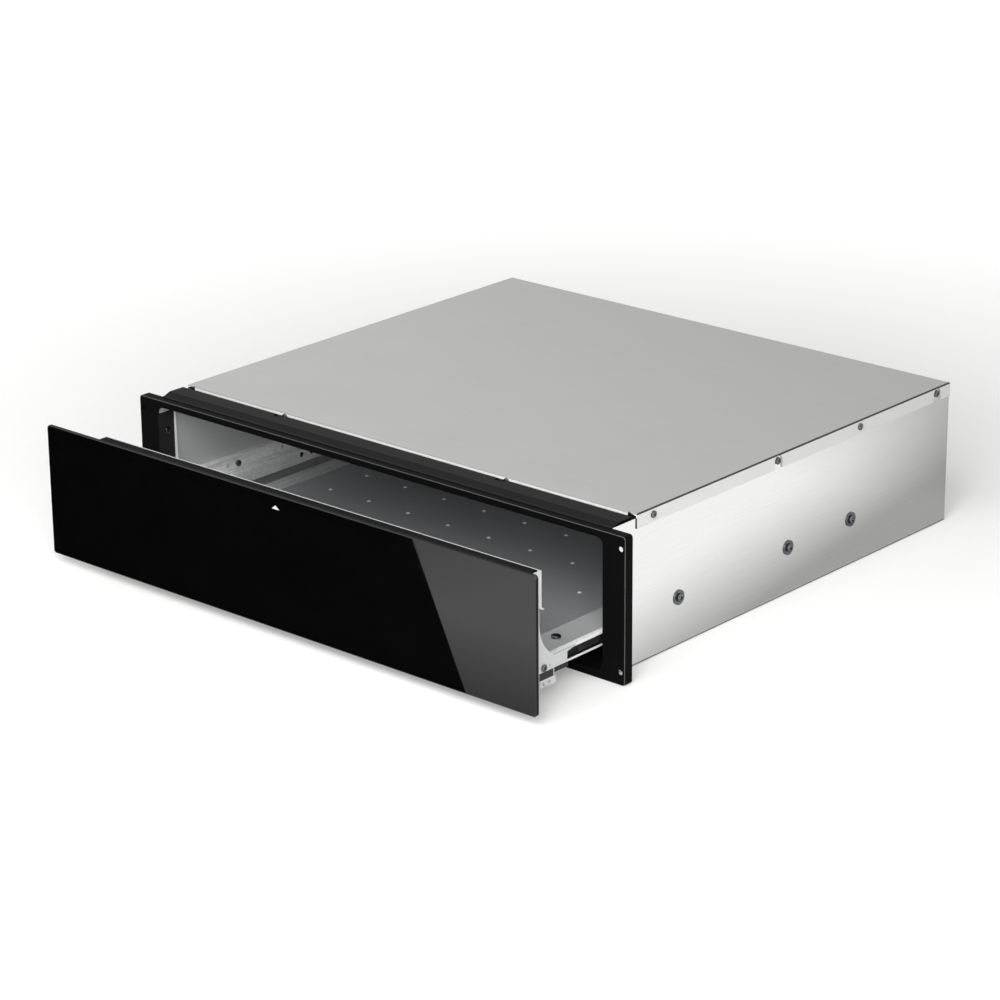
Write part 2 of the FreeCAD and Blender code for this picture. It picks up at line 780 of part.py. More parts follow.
def cabinet_rail():
    """Right cabinet rail: mounting web with a folded lip, and the channel along its lower edge."""
    start = cabinet_rail_front
    end = start + rail_length
    web = box(cabinet_web, side_inner, start, end, rail_bottom, web_top)
    top_lip = box(cabinet_web - web_lip, cabinet_web, start, end, web_top - rail_sheet, web_top)
    shelf = box(cabinet_mouth, cabinet_web, channel_front, end, rail_top - rail_sheet, rail_top + rail_sheet)
    floor = box(cabinet_mouth, cabinet_web, channel_front, end, rail_bottom, rail_bottom + rail_sheet)
    low_return = box(cabinet_mouth, cabinet_mouth + channel_lip, channel_front, end, rail_bottom + rail_sheet,
                     rail_bottom + rail_sheet + channel_lip)
    high_return = box(cabinet_mouth, cabinet_mouth + channel_lip, channel_front, end,
                      rail_top - rail_sheet - channel_lip, rail_top - rail_sheet)
    rail = web.fuse([top_lip, shelf, floor, low_return, high_return]).removeSplitter()
    rail = rail.makeFillet(rail_sheet * 0.7, [edge for edge in rail.Edges if is_rail_fold(edge)])
    holes = []
    low = cabinet_web - beyond
    high = side_inner + beyond
    for offset in cabinet_holes + (rail_length - cabinet_last_hole,):
        holes.append(rod("x", start + offset, slide_screw_z, low, high, rail_hole_radius))
    for offset in slide_screw_offsets:
        holes.append(rod("x", frame_y + offset, slide_screw_z, low, high, slide_screw_radius))
    return rail.cut(holes)


def is_rail_fold(edge):
    """The outer folds of the cabinet rail: at the top lip's tip, and of the channel at its mouth."""
    middle = edge.CenterOfMass
    if abs(edge.Vertexes[0].Y - edge.Vertexes[-1].Y) < rail_length / 2:
        return False
    at_lip = on_plane(middle.z, web_top) and on_plane(middle.x, cabinet_web - web_lip)
    outer = on_plane(middle.z, rail_bottom) or on_plane(middle.z, rail_top + rail_sheet)
    return at_lip or (outer and on_plane(middle.x, cabinet_mouth))


def drawer_rail():
    """Right drawer rail: a channel that opens outwards, with returned edges."""
    start = drawer_rail_front
    end = start + rail_length
    outer = channel_mouth
    inner = drawer_rail_web
    lip = outer - channel_lip
    low = rail_bottom + rail_sheet
    high = rail_top - rail_sheet
    face = inner + rail_sheet
    room = [(lip, low + channel_lip), (lip, low), (face, low), (face, high), (lip, high),
            (lip, high - channel_lip)]
    outline = [(outer, low + channel_lip), (outer, rail_bottom), (inner, rail_bottom), (inner, rail_top),
               (outer, rail_top), (outer, high - channel_lip)]
    fold = rail_sheet * 0.9
    radii = [0.0, fold, fold, fold, fold, 0.0] + [0.0] * len(room)
    rail = prism(outline + room[::-1], "y", start, end, radii)
    holes = [bracket_screw_hole()]
    for offset in drawer_rail_holes + (rail_length - drawer_rail_last_hole,):
        z = rail_middle_z + drawer_rail_hole_rise
        holes.append(rod("x", start + offset, z, inner - beyond, face + beyond, rail_hole_radius))
    return rail.cut(holes)


def bracket_screw_hole():
    """Hole for the screw that joins the front bracket to the drawer rail."""
    y = panel_y + bracket_screw_offset
    return rod("x", y, bracket_screw_z, drawer_rail_web - beyond, bracket_outer + beyond, cover_screw_radius)


def ball_place(row):
    """X of the ball rows in the cabinet channel (outer) or the drawer channel (inner)."""
    if row == "outer":
        return (cabinet_mouth + channel_lip + cabinet_web) / 2
    return (drawer_rail_web + rail_sheet + channel_mouth - channel_lip) / 2


def ball_heights():
    """Z of the lower and upper ball rows."""
    reach = ball_diameter / 2 + ball_clearance
    return (rail_bottom + rail_sheet + reach, rail_top - rail_sheet - reach)


def middle_rail():
    """Right middle rail: two upright flanges that run on the balls, joined by a flat web.

    Its front stretch has the inner flange alone, so that the drawer's foot passes outside it when closed.
    """
    start = middle_front_closed - rest_opening / 2
    end = start + middle_length
    low, high = ball_heights()
    reach = ball_diameter / 2 + ball_clearance
    low += reach
    high -= reach
    inner = ball_place("inner")
    outer = ball_place("outer")
    half = middle_flange / 2
    web_low = rail_middle_z - middle_web / 2
    web_high = rail_middle_z + middle_web / 2
    outline = [(inner - half, low), (inner + half, low), (inner + half, web_low), (outer - half, web_low),
               (outer - half, low), (outer + half, low), (outer + half, high), (outer - half, high),
               (outer - half, web_high), (inner + half, web_high), (inner + half, high), (inner - half, high)]
    body = prism(outline, "y", start + middle_nose, end)
    nose = box(inner - half, inner + half, start, start + middle_nose, low, high)
    notch_top = bracket_screw_z + cover_screw_radius + middle_notch_spare
    nose = nose.cut(box(inner - half - beyond, inner + half + beyond, start - beyond,
                        start + middle_notch_length, low - beyond, notch_top))
    rivet = rod("x", start + stop_rivet_offset, rail_middle_z, inner + half, inner + half + stop_rivet_height,
                stop_rivet_radius)
    return body.fuse([nose, rivet]).removeSplitter()


def cage_length():
    return 2 * cage_end + (balls_per_row - 1) * ball_pitch


def cage_start(row):
    """Front end of a ball cage at rest: it rolls half-way between its two rails."""
    opening_left = full_travel - rest_opening
    if row == "outer":
        return channel_front + cage_open_margin + opening_left / 4
    middle_open = middle_front_closed - full_travel / 2
    return middle_open + inner_cage_open + opening_left * 3 / 4


def ball_positions(row):
    first = cage_start(row) + cage_end
    return [first + index * ball_pitch for index in range(balls_per_row)]


def ball_cage(row):
    """Right ball cage: a folded strip with a pocket for each ball."""
    start = cage_start(row)
    end = start + cage_length()
    low, high = ball_heights()
    x = ball_place(row)
    away = 1 if row == "outer" else -1
    half = cage_sheet / 2
    web_x = x + away * (middle_flange / 2 + cage_web_gap + half)
    tip_x = x - away * (ball_diameter / 2 + cage_lip_reach)
    lips = [box(web_x, tip_x, start, end, z - half, z + half) for z in (low, high)]
    web = box(web_x - half, web_x + half, start, end, low - half, high + half)
    cage = web.fuse(lips).removeSplitter()
    radius = ball_diameter / 2 + pocket_clearance
    pockets = []
    for y in ball_positions(row):
        for z in (low, high):
            pockets.append(rod("z", x, y, z - cage_sheet, z + cage_sheet, radius))
    return cage.cut(pockets)


def balls(row):
    """Right balls of one cage, in two rows."""
    x = ball_place(row)
    spheres = []
    for y in ball_positions(row):
        for z in ball_heights():
            spheres.append(Part.makeSphere(ball_diameter / 2, FreeCAD.Vector(x, y, z)))
    return group(spheres)


def slide_screws():
    """Screws of the cabinet rails, heads and washers outside the side panels."""
    screws = []
    seat = side_outer + washer_thickness
    length = seat - cabinet_web + nut_height + thread_end
    for offset in slide_screw_offsets:
        screw = pan_screw("x", frame_y + offset, slide_screw_z, seat, 1, slide_head_radius, slide_head_height,
                          slide_screw_radius, length)
        screws += both_sides(screw)
    return group(screws)


def slide_washers():
    washers = []
    face = side_outer + washer_thickness
    for offset in slide_screw_offsets:
        y = frame_y + offset
        disc = rod("x", y, slide_screw_z, side_outer, face, washer_radius)
        disc = disc.cut(rod("x", y, slide_screw_z, side_outer - beyond, face + beyond, slide_screw_radius))
        washers += both_sides(disc)
    return group(washers)


def slide_nuts():
    nuts = []
    face = cabinet_web - nut_height
    for offset in slide_screw_offsets:
        y = frame_y + offset
        points = []
        for corner in range(6):
            angle = math.radians(60 * corner)
            points.append((y + nut_radius * math.cos(angle), slide_screw_z + nut_radius * math.sin(angle)))
        nut = prism(points, "x", face, cabinet_web)
        nut = nut.cut(rod("x", y, slide_screw_z, face - beyond, cabinet_web + beyond, slide_screw_radius))
        nuts += both_sides(nut)
    return group(nuts)


# Drawer front

def glass_front():
    half = glass_width / 2
    top = glass_bottom + glass_height
    rear = glass_y + glass_thickness
    glass = rounded_plate("y", -half, half, glass_bottom, top, glass_y, rear, glass_corner)
    rim = [edge for edge in glass.Edges
           if on_plane(edge.CenterOfMass.y, glass_y) or on_plane(edge.CenterOfMass.y, rear)]
    return glass.makeChamfer(glass_bevel, rim)


def glass_tape():
    """Adhesive strips between the glass and the pan behind it."""
    front = glass_y + glass_thickness
    left = support_left + tape_inset
    right = support_right - tape_inset
    inset = tape_inset / 2
    lower = box(left, right, front, support_y, support_bottom + inset, support_bottom + inset + tape_width)
    upper = box(left, right, front, support_y, support_top - inset - tape_width, support_top - inset)
    return group([lower, upper])


def front_support():
    """Black steel pan behind the glass, open to the rear."""
    rear = panel_y - inner_sheet
    pan = box(support_left, support_right, support_y, rear, support_bottom, support_top)
    depth_edges = [edge for edge in pan.Edges if on_plane(edge.Length, support_depth)]
    pan = pan.makeFillet(support_corner, depth_edges)
    hollow = box(support_left + support_sheet, support_right - support_sheet, support_y + support_sheet,
                 rear + beyond, support_bottom + support_sheet, support_top - support_sheet)
    return pan.cut(hollow)


def inner_panel():
    """Steel rear face of the drawer front; its upper right part stands past the pan and folds forward."""
    rear = panel_y
    front = rear - inner_sheet
    flange_x = support_right + inner_flange_reach
    flange_low = support_top - inner_flange_height
    outline = [(support_left, support_bottom), (support_right, support_bottom),
               (support_right, flange_low - inner_flange_chamfer), (flange_x, flange_low),
               (flange_x, support_top), (support_left, support_top)]
    panel = prism(outline, "y", front, rear)
    flange = box(flange_x - inner_sheet, flange_x, support_y + sheet_gap, front, flange_low, support_top)
    panel = panel.fuse(flange).removeSplitter()
    cut_front = front - beyond
    cut_rear = rear + beyond
    half = switch_width / 2 + switch_hole_spare
    tall = switch_height / 2 + switch_hole_spare
    cuts = [
        rod("y", knob_x, knob_z, cut_front, cut_rear, bush_radius + bush_hole_spare),
        rod("y", lamp_x, knob_z, cut_front, cut_rear, lamp_radius + bush_hole_spare),
        box(switch_x - half, switch_x + half, cut_front, cut_rear, knob_z - tall, knob_z + tall),
    ]
    for x, z in flange_screw_places():
        cuts.append(rod("y", x, z, cut_front, cut_rear, cover_screw_radius))
    return panel.cut(cuts)


def flange_screw_places():
    """Screws that hold the two brackets' flanges to the inner panel."""
    right = bracket_outer - flange_screw_inset
    left = support_left + strap_screw_inset
    heights = (bracket_top - flange_screw_top, rail_top + flange_screw_low)
    return [(x, z) for x in (right, left) for z in heights]


def drawer_front_screws():
    length = bracket_sheet + inner_sheet + tap_length
    seat = panel_y + bracket_sheet
    screws = [small_screw("y", x, z, seat, 1, length=length) for x, z in flange_screw_places()]
    return group(screws)


def bracket_body():
    """Right gusset bracket: a foot on the drawer rail, an arm with a large fillet and a front flange."""
    heel_front = panel_y + bracket_foot_length
    arm = panel_y + bracket_arm_depth
    centre_z = rail_top + bracket_fillet_rise
    centre_y = arm + bracket_fillet
    foot_bottom = rail_bottom + bracket_foot_rise
    reach = math.sqrt(bracket_fillet ** 2 - bracket_fillet_rise ** 2)
    arc_foot = (centre_y - reach, rail_top)
    middle_angle = (math.pi + math.atan2(rail_top - centre_z, arc_foot[0] - centre_y) + 2 * math.pi) / 2
    arc_middle = (centre_y + bracket_fillet * math.cos(middle_angle),
                  centre_z + bracket_fillet * math.sin(middle_angle))
    lower = [(panel_y, foot_bottom), (heel_front, foot_bottom), (heel_front, rail_top - bracket_heel_drop),
             (heel_front + bracket_heel, rail_top), arc_foot]
    upper = [(arm, centre_z), (arm, bracket_top), (panel_y, bracket_top), lower[0]]
    edges = [Part.Arc(place("x", *arc_foot, bracket_x), place("x", *arc_middle, bracket_x),
                      place("x", arm, centre_z, bracket_x)).toShape()]
    for points in (lower, upper):
        for first, second in zip(points, points[1:]):
            line = Part.LineSegment(place("x", *first, bracket_x), place("x", *second, bracket_x))
            edges.append(line.toShape())
    outline = Part.Wire(Part.__sortEdges__(edges))
    plate = Part.Face(outline).extrude(direction("x", bracket_sheet))
    flange = box(bracket_outer - bracket_flange, bracket_x, panel_y, panel_y + bracket_sheet,
                 rail_top + bracket_flange_gap, bracket_top)
    body = plate.fuse(flange).removeSplitter()
    pin_y = panel_y + bracket_pin_offset
    pin = rod("x", pin_y, bracket_screw_z, bracket_x - beyond, bracket_outer + beyond, bracket_pin_radius)
    return body.cut([bracket_screw_hole(), pin])


def bracket(side):
    """The right bracket, or the left one with its flange widened to reach the inner panel."""
    body = bracket_body()
    if side == "left":
        inboard = bracket_flange - bracket_outer
        reach = support_left + bracket_strap_overlap
        strap = box(inboard - beyond, max(reach, inboard), panel_y, panel_y + bracket_sheet,
                    rail_top + bracket_flange_gap, bracket_top)
        body = mirrored(body).fuse(strap).removeSplitter()
    holes = [rod("y", x, z, panel_y - beyond, panel_y + bracket_sheet + beyond, cover_screw_radius)
             for x, z in flange_screw_places()]
    return body.cut(holes)


def bracket_screws():
    """Screws through the brackets' feet into the drawer rails."""
    y = panel_y + bracket_screw_offset
    length = bracket_outer - drawer_rail_web + tap_length
    screw = small_screw("x", y, bracket_screw_z, bracket_outer, 1, bracket_head_height, length)
    return group(both_sides(screw))


def end_blocks():
    """Dark plastic blocks under the front ends of the drawer rails, each in two parts beside the clip."""
    outer = channel_mouth
    inner = outer - block_width
    start = drawer_rail_front
    front = box(inner, outer, start, start + block_length, rail_bottom - block_height, rail_bottom)
    tail_start = start + block_length + clip_sheet + block_slot_spare
    tail = box(inner, outer, tail_start, start + block_length + block_tail, rail_bottom - block_tail_height,
               rail_bottom)
    return group([front, tail, mirrored(front), mirrored(tail)])


def rail_clips():
    """Silver clips under the blocks, with two adjusting holes and an upright tab."""
    outer = channel_mouth
    inner = outer - block_width
    upright_front = drawer_rail_front + block_length
    upright_rear = upright_front + clip_sheet
    end = upright_rear + clip_tail
    start = end - clip_length
    top = rail_bottom - block_height
    low = top - clip_height
    roof = box(inner, outer, start, end, top - clip_sheet, top)
    cheek = box(outer - clip_sheet, outer, start, end, low, top)
    upright = box(inner + clip_sheet, outer, upright_front, upright_rear, top - clip_sheet, rail_bottom)
    clip = roof.fuse([cheek, upright]).removeSplitter()
    holes = []
    for side in (-0.5, 0.5):
        y = start + clip_length / 2 - clip_hole_lead + side * clip_hole_pitch
        holes.append(rod("x", y, low + clip_hole_height, outer - clip_sheet - beyond, outer + beyond,
                         clip_hole_radius))
    return group(both_sides(clip.cut(holes)))


# Tray

def tray_base():
    """Folded steel tray with a tall rear edge and notches for the bearers."""
    low = tray_under - tray_edge
    path = [(tray_right, low), (tray_right, tray_top), (tray_left, tray_top), (tray_left, low)]
    tray = folded_sheet(path, tray_sheet, "y", tray_front_y, tray_rear_y)
    left = tray_left + tray_end_inset
    right = tray_right - tray_end_inset
    rear = box(left, right, tray_rear_y - tray_sheet, tray_rear_y, tray_under, tray_top + tray_rear_height)
    front = box(left, right, tray_front_y, tray_front_y + tray_sheet, tray_under,
                tray_top + tray_front_height)
    tray = tray.fuse([rear, front]).removeSplitter()
    cuts = []
    half = bearer_width / 2 + bearer_notch_spare
    edge = tray_sheet + bend
    for y in bearer_places():
        for x in (tray_left, tray_right):
            cuts.append(box(x - edge, x + edge, y - half, y + half, low - beyond, tray_under))
    for x, y in tray_screw_places():
        cuts.append(rod("z", x, y, tray_under - beyond, tray_top + beyond, cover_screw_radius))
    return tray.cut(cuts)


def bearer_places():
    return (tray_front_y + tray_screw_front, tray_rear_y - tray_screw_rear)


def tray_screw_places():
    sides = (tray_left + tray_screw_inset_left, tray_right - tray_screw_inset_right)
    return [(x, y) for x in sides for y in bearer_places()]


def tray_screws():
    """Large pan-head screws that hold the tray to its bearers."""
    length = tray_sheet + bearer_sheet + tap_length
    screws = []
    for x, y in tray_screw_places():
        screws.append(pan_screw("z", x, y, tray_top, 1, tray_head_radius, tray_head_height,
                                cover_screw_radius, length))
    return group(screws)


def floor_plate():
    """Polished warming plate with a grid of raised pips that keep the dishes off it."""
    start = tray_front_y + tray_sheet + floor_margin
    end = tray_rear_y - tray_sheet - floor_margin
    top = tray_top + floor_sheet
    plate = box(-floor_half_width, floor_half_width, start, end, tray_top, top)
    pips = []
    for column in range(pip_columns):
        x = (column - (pip_columns - 1) / 2) * pip_pitch
        for row in range(pip_rows):
            y = panel_y + pip_first_row + row * pip_pitch
            if start + pip_radius < y < end - pip_radius:
                pips.append(Part.makeCone(pip_radius, pip_top_radius, pip_height, FreeCAD.Vector(x, y, top)))
    return plate.fuse(pips)


def side_trim():
    """Raised trim that closes the tray's left margin beside the floor plate."""
    start = tray_front_y + tray_sheet + floor_margin
    end = tray_rear_y - tray_sheet - floor_margin
    left = tray_left + trim_inset
    right = left + trim_width
    high = tray_top + trim_height
    path = [(right, tray_top), (right, high), (left, high), (left, tray_top)]
    return folded_sheet(path, trim_sheet, "y", start, end, trim_sheet / 2)


def bearer(middle):
    """Cross bearer: a flat strip under the tray whose ends turn up on the drawer rails."""
    high = tray_under + bearer_tab
    low = tray_under - bearer_sheet
    reach = drawer_rail_web
    path = [(-reach, high), (-reach, low), (reach, low), (reach, high)]
    strip = folded_sheet(path, bearer_sheet, "y", middle - bearer_width / 2, middle + bearer_width / 2)
    holes = []
    for x, y in tray_screw_places():
        holes.append(rod("z", x, y, low - beyond, tray_under + beyond, cover_screw_radius))
    return strip.cut(holes)


def striker():
    """Plate hanging from the tray's rear edge that meets the push catch."""
    half = striker_width / 2
    plate = box(-half, half, tray_rear_y - striker_sheet, tray_rear_y, striker_bottom, tray_under)
    foot = box(-half, half, tray_rear_y - striker_foot, tray_rear_y, tray_under - striker_sheet, tray_under)
    return plate.fuse(foot).removeSplitter()


# Controls

def temperature_knob():
    """Knob with a skirt, a fluted grip, a pointer ridge and its shaft."""
    face = panel_y + running_gap
    grip_start = face + knob_skirt
    end = face + knob_depth
    skirt = rod("y", knob_x, knob_z, face, grip_start, knob_radius)
    grip = rod("y", knob_x, knob_z, grip_start, end, knob_grip_radius)
    flute_reach = knob_grip_radius + flute_radius - flute_bite
    flutes = []
    for index in range(knob_flutes):
        angle = 2 * math.pi * (index + 0.5) / knob_flutes
        u = knob_x + flute_reach * math.cos(angle)
        v = knob_z + flute_reach * math.sin(angle)
        flutes.append(rod("y", u, v, grip_start, end + beyond, flute_radius))
    half = pointer_width / 2
    pointer = box(knob_x - half, knob_x + half, end, end + pointer_height, knob_z,
                  knob_z + knob_grip_radius - pointer_gap)
    shaft = rod("y", knob_x, knob_z, face - knob_shaft_length, face, knob_shaft_radius)
    return skirt.fuse(grip.cut(flutes)).fuse([pointer, shaft]).removeSplitter()


def thermostat():
    """Thermostat body behind the inner panel, with the bush that the knob's shaft turns in."""
    rear = panel_y - inner_sheet
    half = thermostat_width / 2
    tall = thermostat_height / 2
    body = box(knob_x - half, knob_x + half, support_y + support_sheet + thermostat_front_gap, rear,
               knob_z - tall, knob_z + tall)
    upright = [edge for edge in body.Edges if on_plane(edge.Length, thermostat_height)]
    body = body.makeFillet(catch_corner, upright)
    bush = rod("y", knob_x, knob_z, rear, panel_y, bush_radius)
    bore_start = panel_y - knob_shaft_length - beyond
    bore = rod("y", knob_x, knob_z, bore_start, panel_y + beyond, knob_shaft_radius + shaft_clearance)
    return body.fuse(bush).cut(bore)


def rocker_half_width():
    return switch_width / 2 - switch_wall - rocker_margin


def power_rocker():
    """Rocker of the mains switch in its off place, its two faces meeting in a shallow valley."""
    half = rocker_half_width()
    tall = switch_height / 2 - switch_wall - rocker_margin
    face = panel_y + rocker_rise
    root = rocker_pivot_y - rocker_root_depth
    points = [(root, knob_z - rocker_root_half), (face, knob_z - tall), (face - rocker_valley, knob_z),
              (face, knob_z + tall), (root, knob_z + rocker_root_half)]
    rocker = prism(points, "x", switch_x - half, switch_x + half)
    pin_reach = half + rocker_pin_reach
    pin = rod("x", rocker_pivot_y, knob_z, switch_x - pin_reach, switch_x + pin_reach, rocker_pin_radius)
    rocker = rocker.fuse(pin).removeSplitter()
    rocker.rotate(FreeCAD.Vector(switch_x, rocker_pivot_y, knob_z), FreeCAD.Vector(1, 0, 0), -rocker_tilt)
    return rocker


def switch_body():
    """Switch housing with its bezel, hollow where the rocker tips, and bores for the rocker's pins."""
    half = switch_width / 2
    tall = switch_height / 2
    rim = switch_bezel_width
    rear = panel_y + switch_bezel_height
    body = box(switch_x - half, switch_x + half, panel_y - switch_body_depth, panel_y, knob_z - tall,
               knob_z + tall)
    bezel = box(switch_x - half - rim, switch_x + half + rim, panel_y, rear, knob_z - tall - rim,
                knob_z + tall + rim)
    room_half = half - switch_wall
    room_tall = tall - switch_wall
    room_front = panel_y - switch_body_depth + switch_wall
    room = box(switch_x - room_half, switch_x + room_half, room_front, rear + beyond, knob_z - room_tall,
               knob_z + room_tall)
    pin_reach = rocker_half_width() + rocker_pin_reach + shaft_clearance
    bore = rod("x", rocker_pivot_y, knob_z, switch_x - pin_reach, switch_x + pin_reach,
               rocker_pin_radius + shaft_clearance)
    return body.fuse(bezel).removeSplitter().cut([room, bore])


def indicator_lamp():
    """Small round lens beside the knob."""
    lens = rod("y", lamp_x, knob_z, panel_y - inner_sheet - lamp_depth, panel_y, lamp_radius)
    crown = Part.makeCone(lamp_radius + lamp_rim, lamp_radius - lamp_rim, lamp_rise,
                          place("y", lamp_x, knob_z, panel_y), direction("y", 1.0))
    return lens.fuse(crown).removeSplitter()


# Fan compartment

def duct_cover():
    """Inner back wall with the fan's intake in the middle and an outlet grille on each side."""
    path = [(-side_inner, duct_y + flange_width), (-side_inner, duct_y), (side_inner, duct_y),
            (side_inner, duct_y + flange_width)]
    low = 2 * panel_sheet + bend
    high = cover_under - panel_sheet - bend
    wall = folded_sheet(path, panel_sheet, "z", low, high)
    front = duct_y - beyond
    back = duct_y + panel_sheet + beyond
    cuts = []
    for index in range(intake_slots):
        x = (index - (intake_slots - 1) / 2) * duct_slot_pitch
        height = 2 * math.sqrt(intake_radius ** 2 - x ** 2)
        cuts.append(slot("y", x, fan_z, duct_slot_width, height, front, back))
    for side in (-1, 1):
        middle = side * (side_inner - outlet_inset)
        for index in range(outlet_slots):
            x = middle + (index - (outlet_slots - 1) / 2) * duct_slot_pitch
            cuts.append(slot("y", x, outlet_z, duct_slot_width, outlet_slot_height, front, back))
    return wall.cut(cuts)


def motor_plate():
    """Bulkhead that carries the motor and the heating element, standing on the bottom panel."""
    half = motor_plate_half_width
    start = motor_plate_y
    top = cover_under - motor_plate_head_gap
    path = [(start, top), (start, panel_sheet), (start + flange_width, panel_sheet)]
    plate = folded_sheet(path, panel_sheet, "x", -half, half)
    back = start + panel_sheet + beyond
    holes = [rod("y", 0, fan_z, start - beyond, back, motor_boss_radius + motor_boss_clearance)]
    for x in element_leg_places():
        radius = element_tube_radius + element_hole_clearance
        holes.append(rod("y", x, element_leg_z(), start - beyond, back, radius))
    return plate.cut(holes)


def stack_y():
    return motor_plate_y + panel_sheet + bearing_depth


def motor():
    """Shaded-pole motor: laminated stack with the coil's window, and two bearing bridges."""
    start = motor_plate_y + panel_sheet
    stack_start = stack_y()
    stack_end = stack_start + stack_depth
    half = stack_width / 2
    low = fan_z - stack_drop
    stack = rounded_plate("y", -half, half, low, low + stack_height, stack_start, stack_end, stack_corner)
    window = box(-half + stack_cheek, half - stack_cheek, stack_start - beyond, stack_end + beyond,
                 low + stack_limb, fan_z - stack_window_drop)
    bridge_half = half - bridge_inset
    bridge_low = fan_z - bridge_half_height
    bridge_high = fan_z + bridge_half_height
    front_bridge = box(-bridge_half, bridge_half, start, stack_start, bridge_low, bridge_high)
    rear_bridge = box(-bridge_half, bridge_half, stack_end, stack_end + bridge_sheet, bridge_low, bridge_high)
    front_boss = rod("y", 0, fan_z, start - panel_sheet, start, motor_boss_radius)
    back_boss = rod("y", 0, fan_z, stack_end, stack_end + rear_boss, bearing_radius)
    body = stack.cut(window).fuse([front_bridge, rear_bridge, front_boss, back_boss]).removeSplitter()
    bore = rod("y", 0, fan_z, start - 2 * panel_sheet, rear_y, fan_shaft_radius + shaft_clearance)
    return body.cut(bore)


def motor_coil():
    """Coil round the lower limb of the stack."""
    stack_start = stack_y()
    low = fan_z - stack_drop
    half = coil_length / 2
    coil_top = fan_z - stack_window_drop - sheet_gap
    coil = rounded_plate("x", stack_start - coil_build, stack_start + stack_depth + coil_build,
                         low - coil_build, coil_top, -half, half, coil_corner)
    limb = box(-half - beyond, half + beyond, stack_start, stack_start + stack_depth, low, low + stack_limb)
    return coil.cut(limb)


def fan_impeller():
    """Radial impeller: back disc, hub and swept blades."""
    start = fan_front_y
    end = start + impeller_width
    disc_front = end - impeller_disc
    hub = rod("y", 0, fan_z, start + impeller_hub_setback, end, impeller_hub_radius)
    disc = rod("y", 0, fan_z, disc_front, end, impeller_radius)
    root = impeller_hub_radius + blade_root_gap
    tip = impeller_radius - blade_tip_gap
    rim = rod("y", 0, fan_z, start, end, impeller_radius)
    blades = []
    for index in range(impeller_blades):
        blade = box(-blade_sheet / 2, blade_sheet / 2, start, disc_front, root, tip)
        blade.rotate(FreeCAD.Vector(0, 0, tip), FreeCAD.Vector(0, 1, 0), blade_angle)
        blade.translate(FreeCAD.Vector(0, 0, fan_z))
        blade.rotate(FreeCAD.Vector(0, 0, fan_z), FreeCAD.Vector(0, 1, 0), 360 * index / impeller_blades)
        blades.append(blade.common(rim))
    body = hub.fuse([disc] + blades).removeSplitter()
    return body.cut(rod("y", 0, fan_z, start - beyond, end + beyond, fan_shaft_radius))


def fan_shaft():
    end = stack_y() + stack_depth + shaft_tail
    return rod("y", 0, fan_z, fan_front_y + shaft_front, end, fan_shaft_radius)


def element_leg_places():
    return (-element_leg_half, element_leg_half)


def element_leg_z():
    """Height at which the ring's two ends turn back through the motor plate."""
    return fan_z - math.sqrt(element_ring_radius ** 2 - element_leg_half ** 2)


def heating_element():
    """Tubular heater: an open ring round the impeller with two legs through the motor plate."""
    y = fan_front_y + impeller_width / 2
    spread = math.asin(element_leg_half / element_ring_radius)
    ring = Part.makeTorus(element_ring_radius, element_tube_radius, FreeCAD.Vector(0, y, fan_z),
                          FreeCAD.Vector(0, 1, 0), 0, 360, 360)
    reach = 2 * element_ring_radius
    foot_z = fan_z - reach * math.cos(spread)
    wedge = [(0, fan_z), (-reach * math.sin(spread), foot_z), (reach * math.sin(spread), foot_z)]
    gap = 2 * element_tube_radius
    ring = ring.cut(prism(wedge, "y", y - gap, y + gap))
    pieces = []
    for x in element_leg_places():
        pieces.append(rod("y", x, element_leg_z(), y, motor_plate_y + element_leg_tail, element_tube_radius))
        pieces.append(Part.makeSphere(element_tube_radius, FreeCAD.Vector(x, y, element_leg_z())))
    return ring.fuse(pieces).removeSplitter()


def thermal_cutout():
    """Bimetal safety cut-out with its flange, fixed to the motor plate."""
    face = motor_plate_y
    half = cutout_radius + cutout_flange
    flange_face = face - cutout_flange_sheet
    flange = rounded_plate("y", cutout_x - half, cutout_x + half, cutout_z - cutout_flange_half,
                           cutout_z + cutout_flange_half, flange_face, face, cutout_flange_corner)
    disc = rod("y", cutout_x, cutout_z, face - cutout_height, flange_face, cutout_radius)
    return flange.fuse(disc).removeSplitter()


def terminal_block():
    """Screw terminal block for the mains lead."""
    half = terminal_width / 2
    end = rear_y - panel_sheet - terminal_rear_gap
    start = end - terminal_depth
    top = panel_sheet + terminal_height
    base = box(terminal_x - half, terminal_x + half, start, end, panel_sheet, top)
    pitch = terminal_width / terminal_ways
    middle = (start + end) / 2
    cuts = []
    for index in range(terminal_ways):
        x = terminal_x - half + (index + 0.5) * pitch
        cuts.append(rod("z", x, middle, top - terminal_well_depth, top + beyond, terminal_well_radius))
        cuts.append(rod("y", x, panel_sheet + terminal_wire_rise, end - terminal_wire_depth, end + beyond,
                        terminal_wire_radius))
    for index in range(1, terminal_ways):
        x = terminal_x - half + index * pitch
        cuts.append(box(x - terminal_barrier / 2, x + terminal_barrier / 2, start - beyond, end + beyond,
                        top - terminal_barrier_depth, top + beyond))
    return base.cut(cuts)


def cord_gland():
    """Rubber grommet in the back panel for the mains lead."""
    middle = rear_y - panel_sheet / 2
    front = middle - gland_length / 2
    back = middle + gland_length / 2
    body = rod("y", gland_x, gland_z, front, back, gland_radius)
    groove = rod("y", gland_x, gland_z, rear_y - panel_sheet, rear_y, gland_radius + beyond)
    groove = groove.cut(rod("y", gland_x, gland_z, rear_y - panel_sheet, rear_y, gland_groove_radius))
    bore = rod("y", gland_x, gland_z, front - beyond, back + beyond, gland_bore)
    return body.cut([groove, bore])


# Push catch

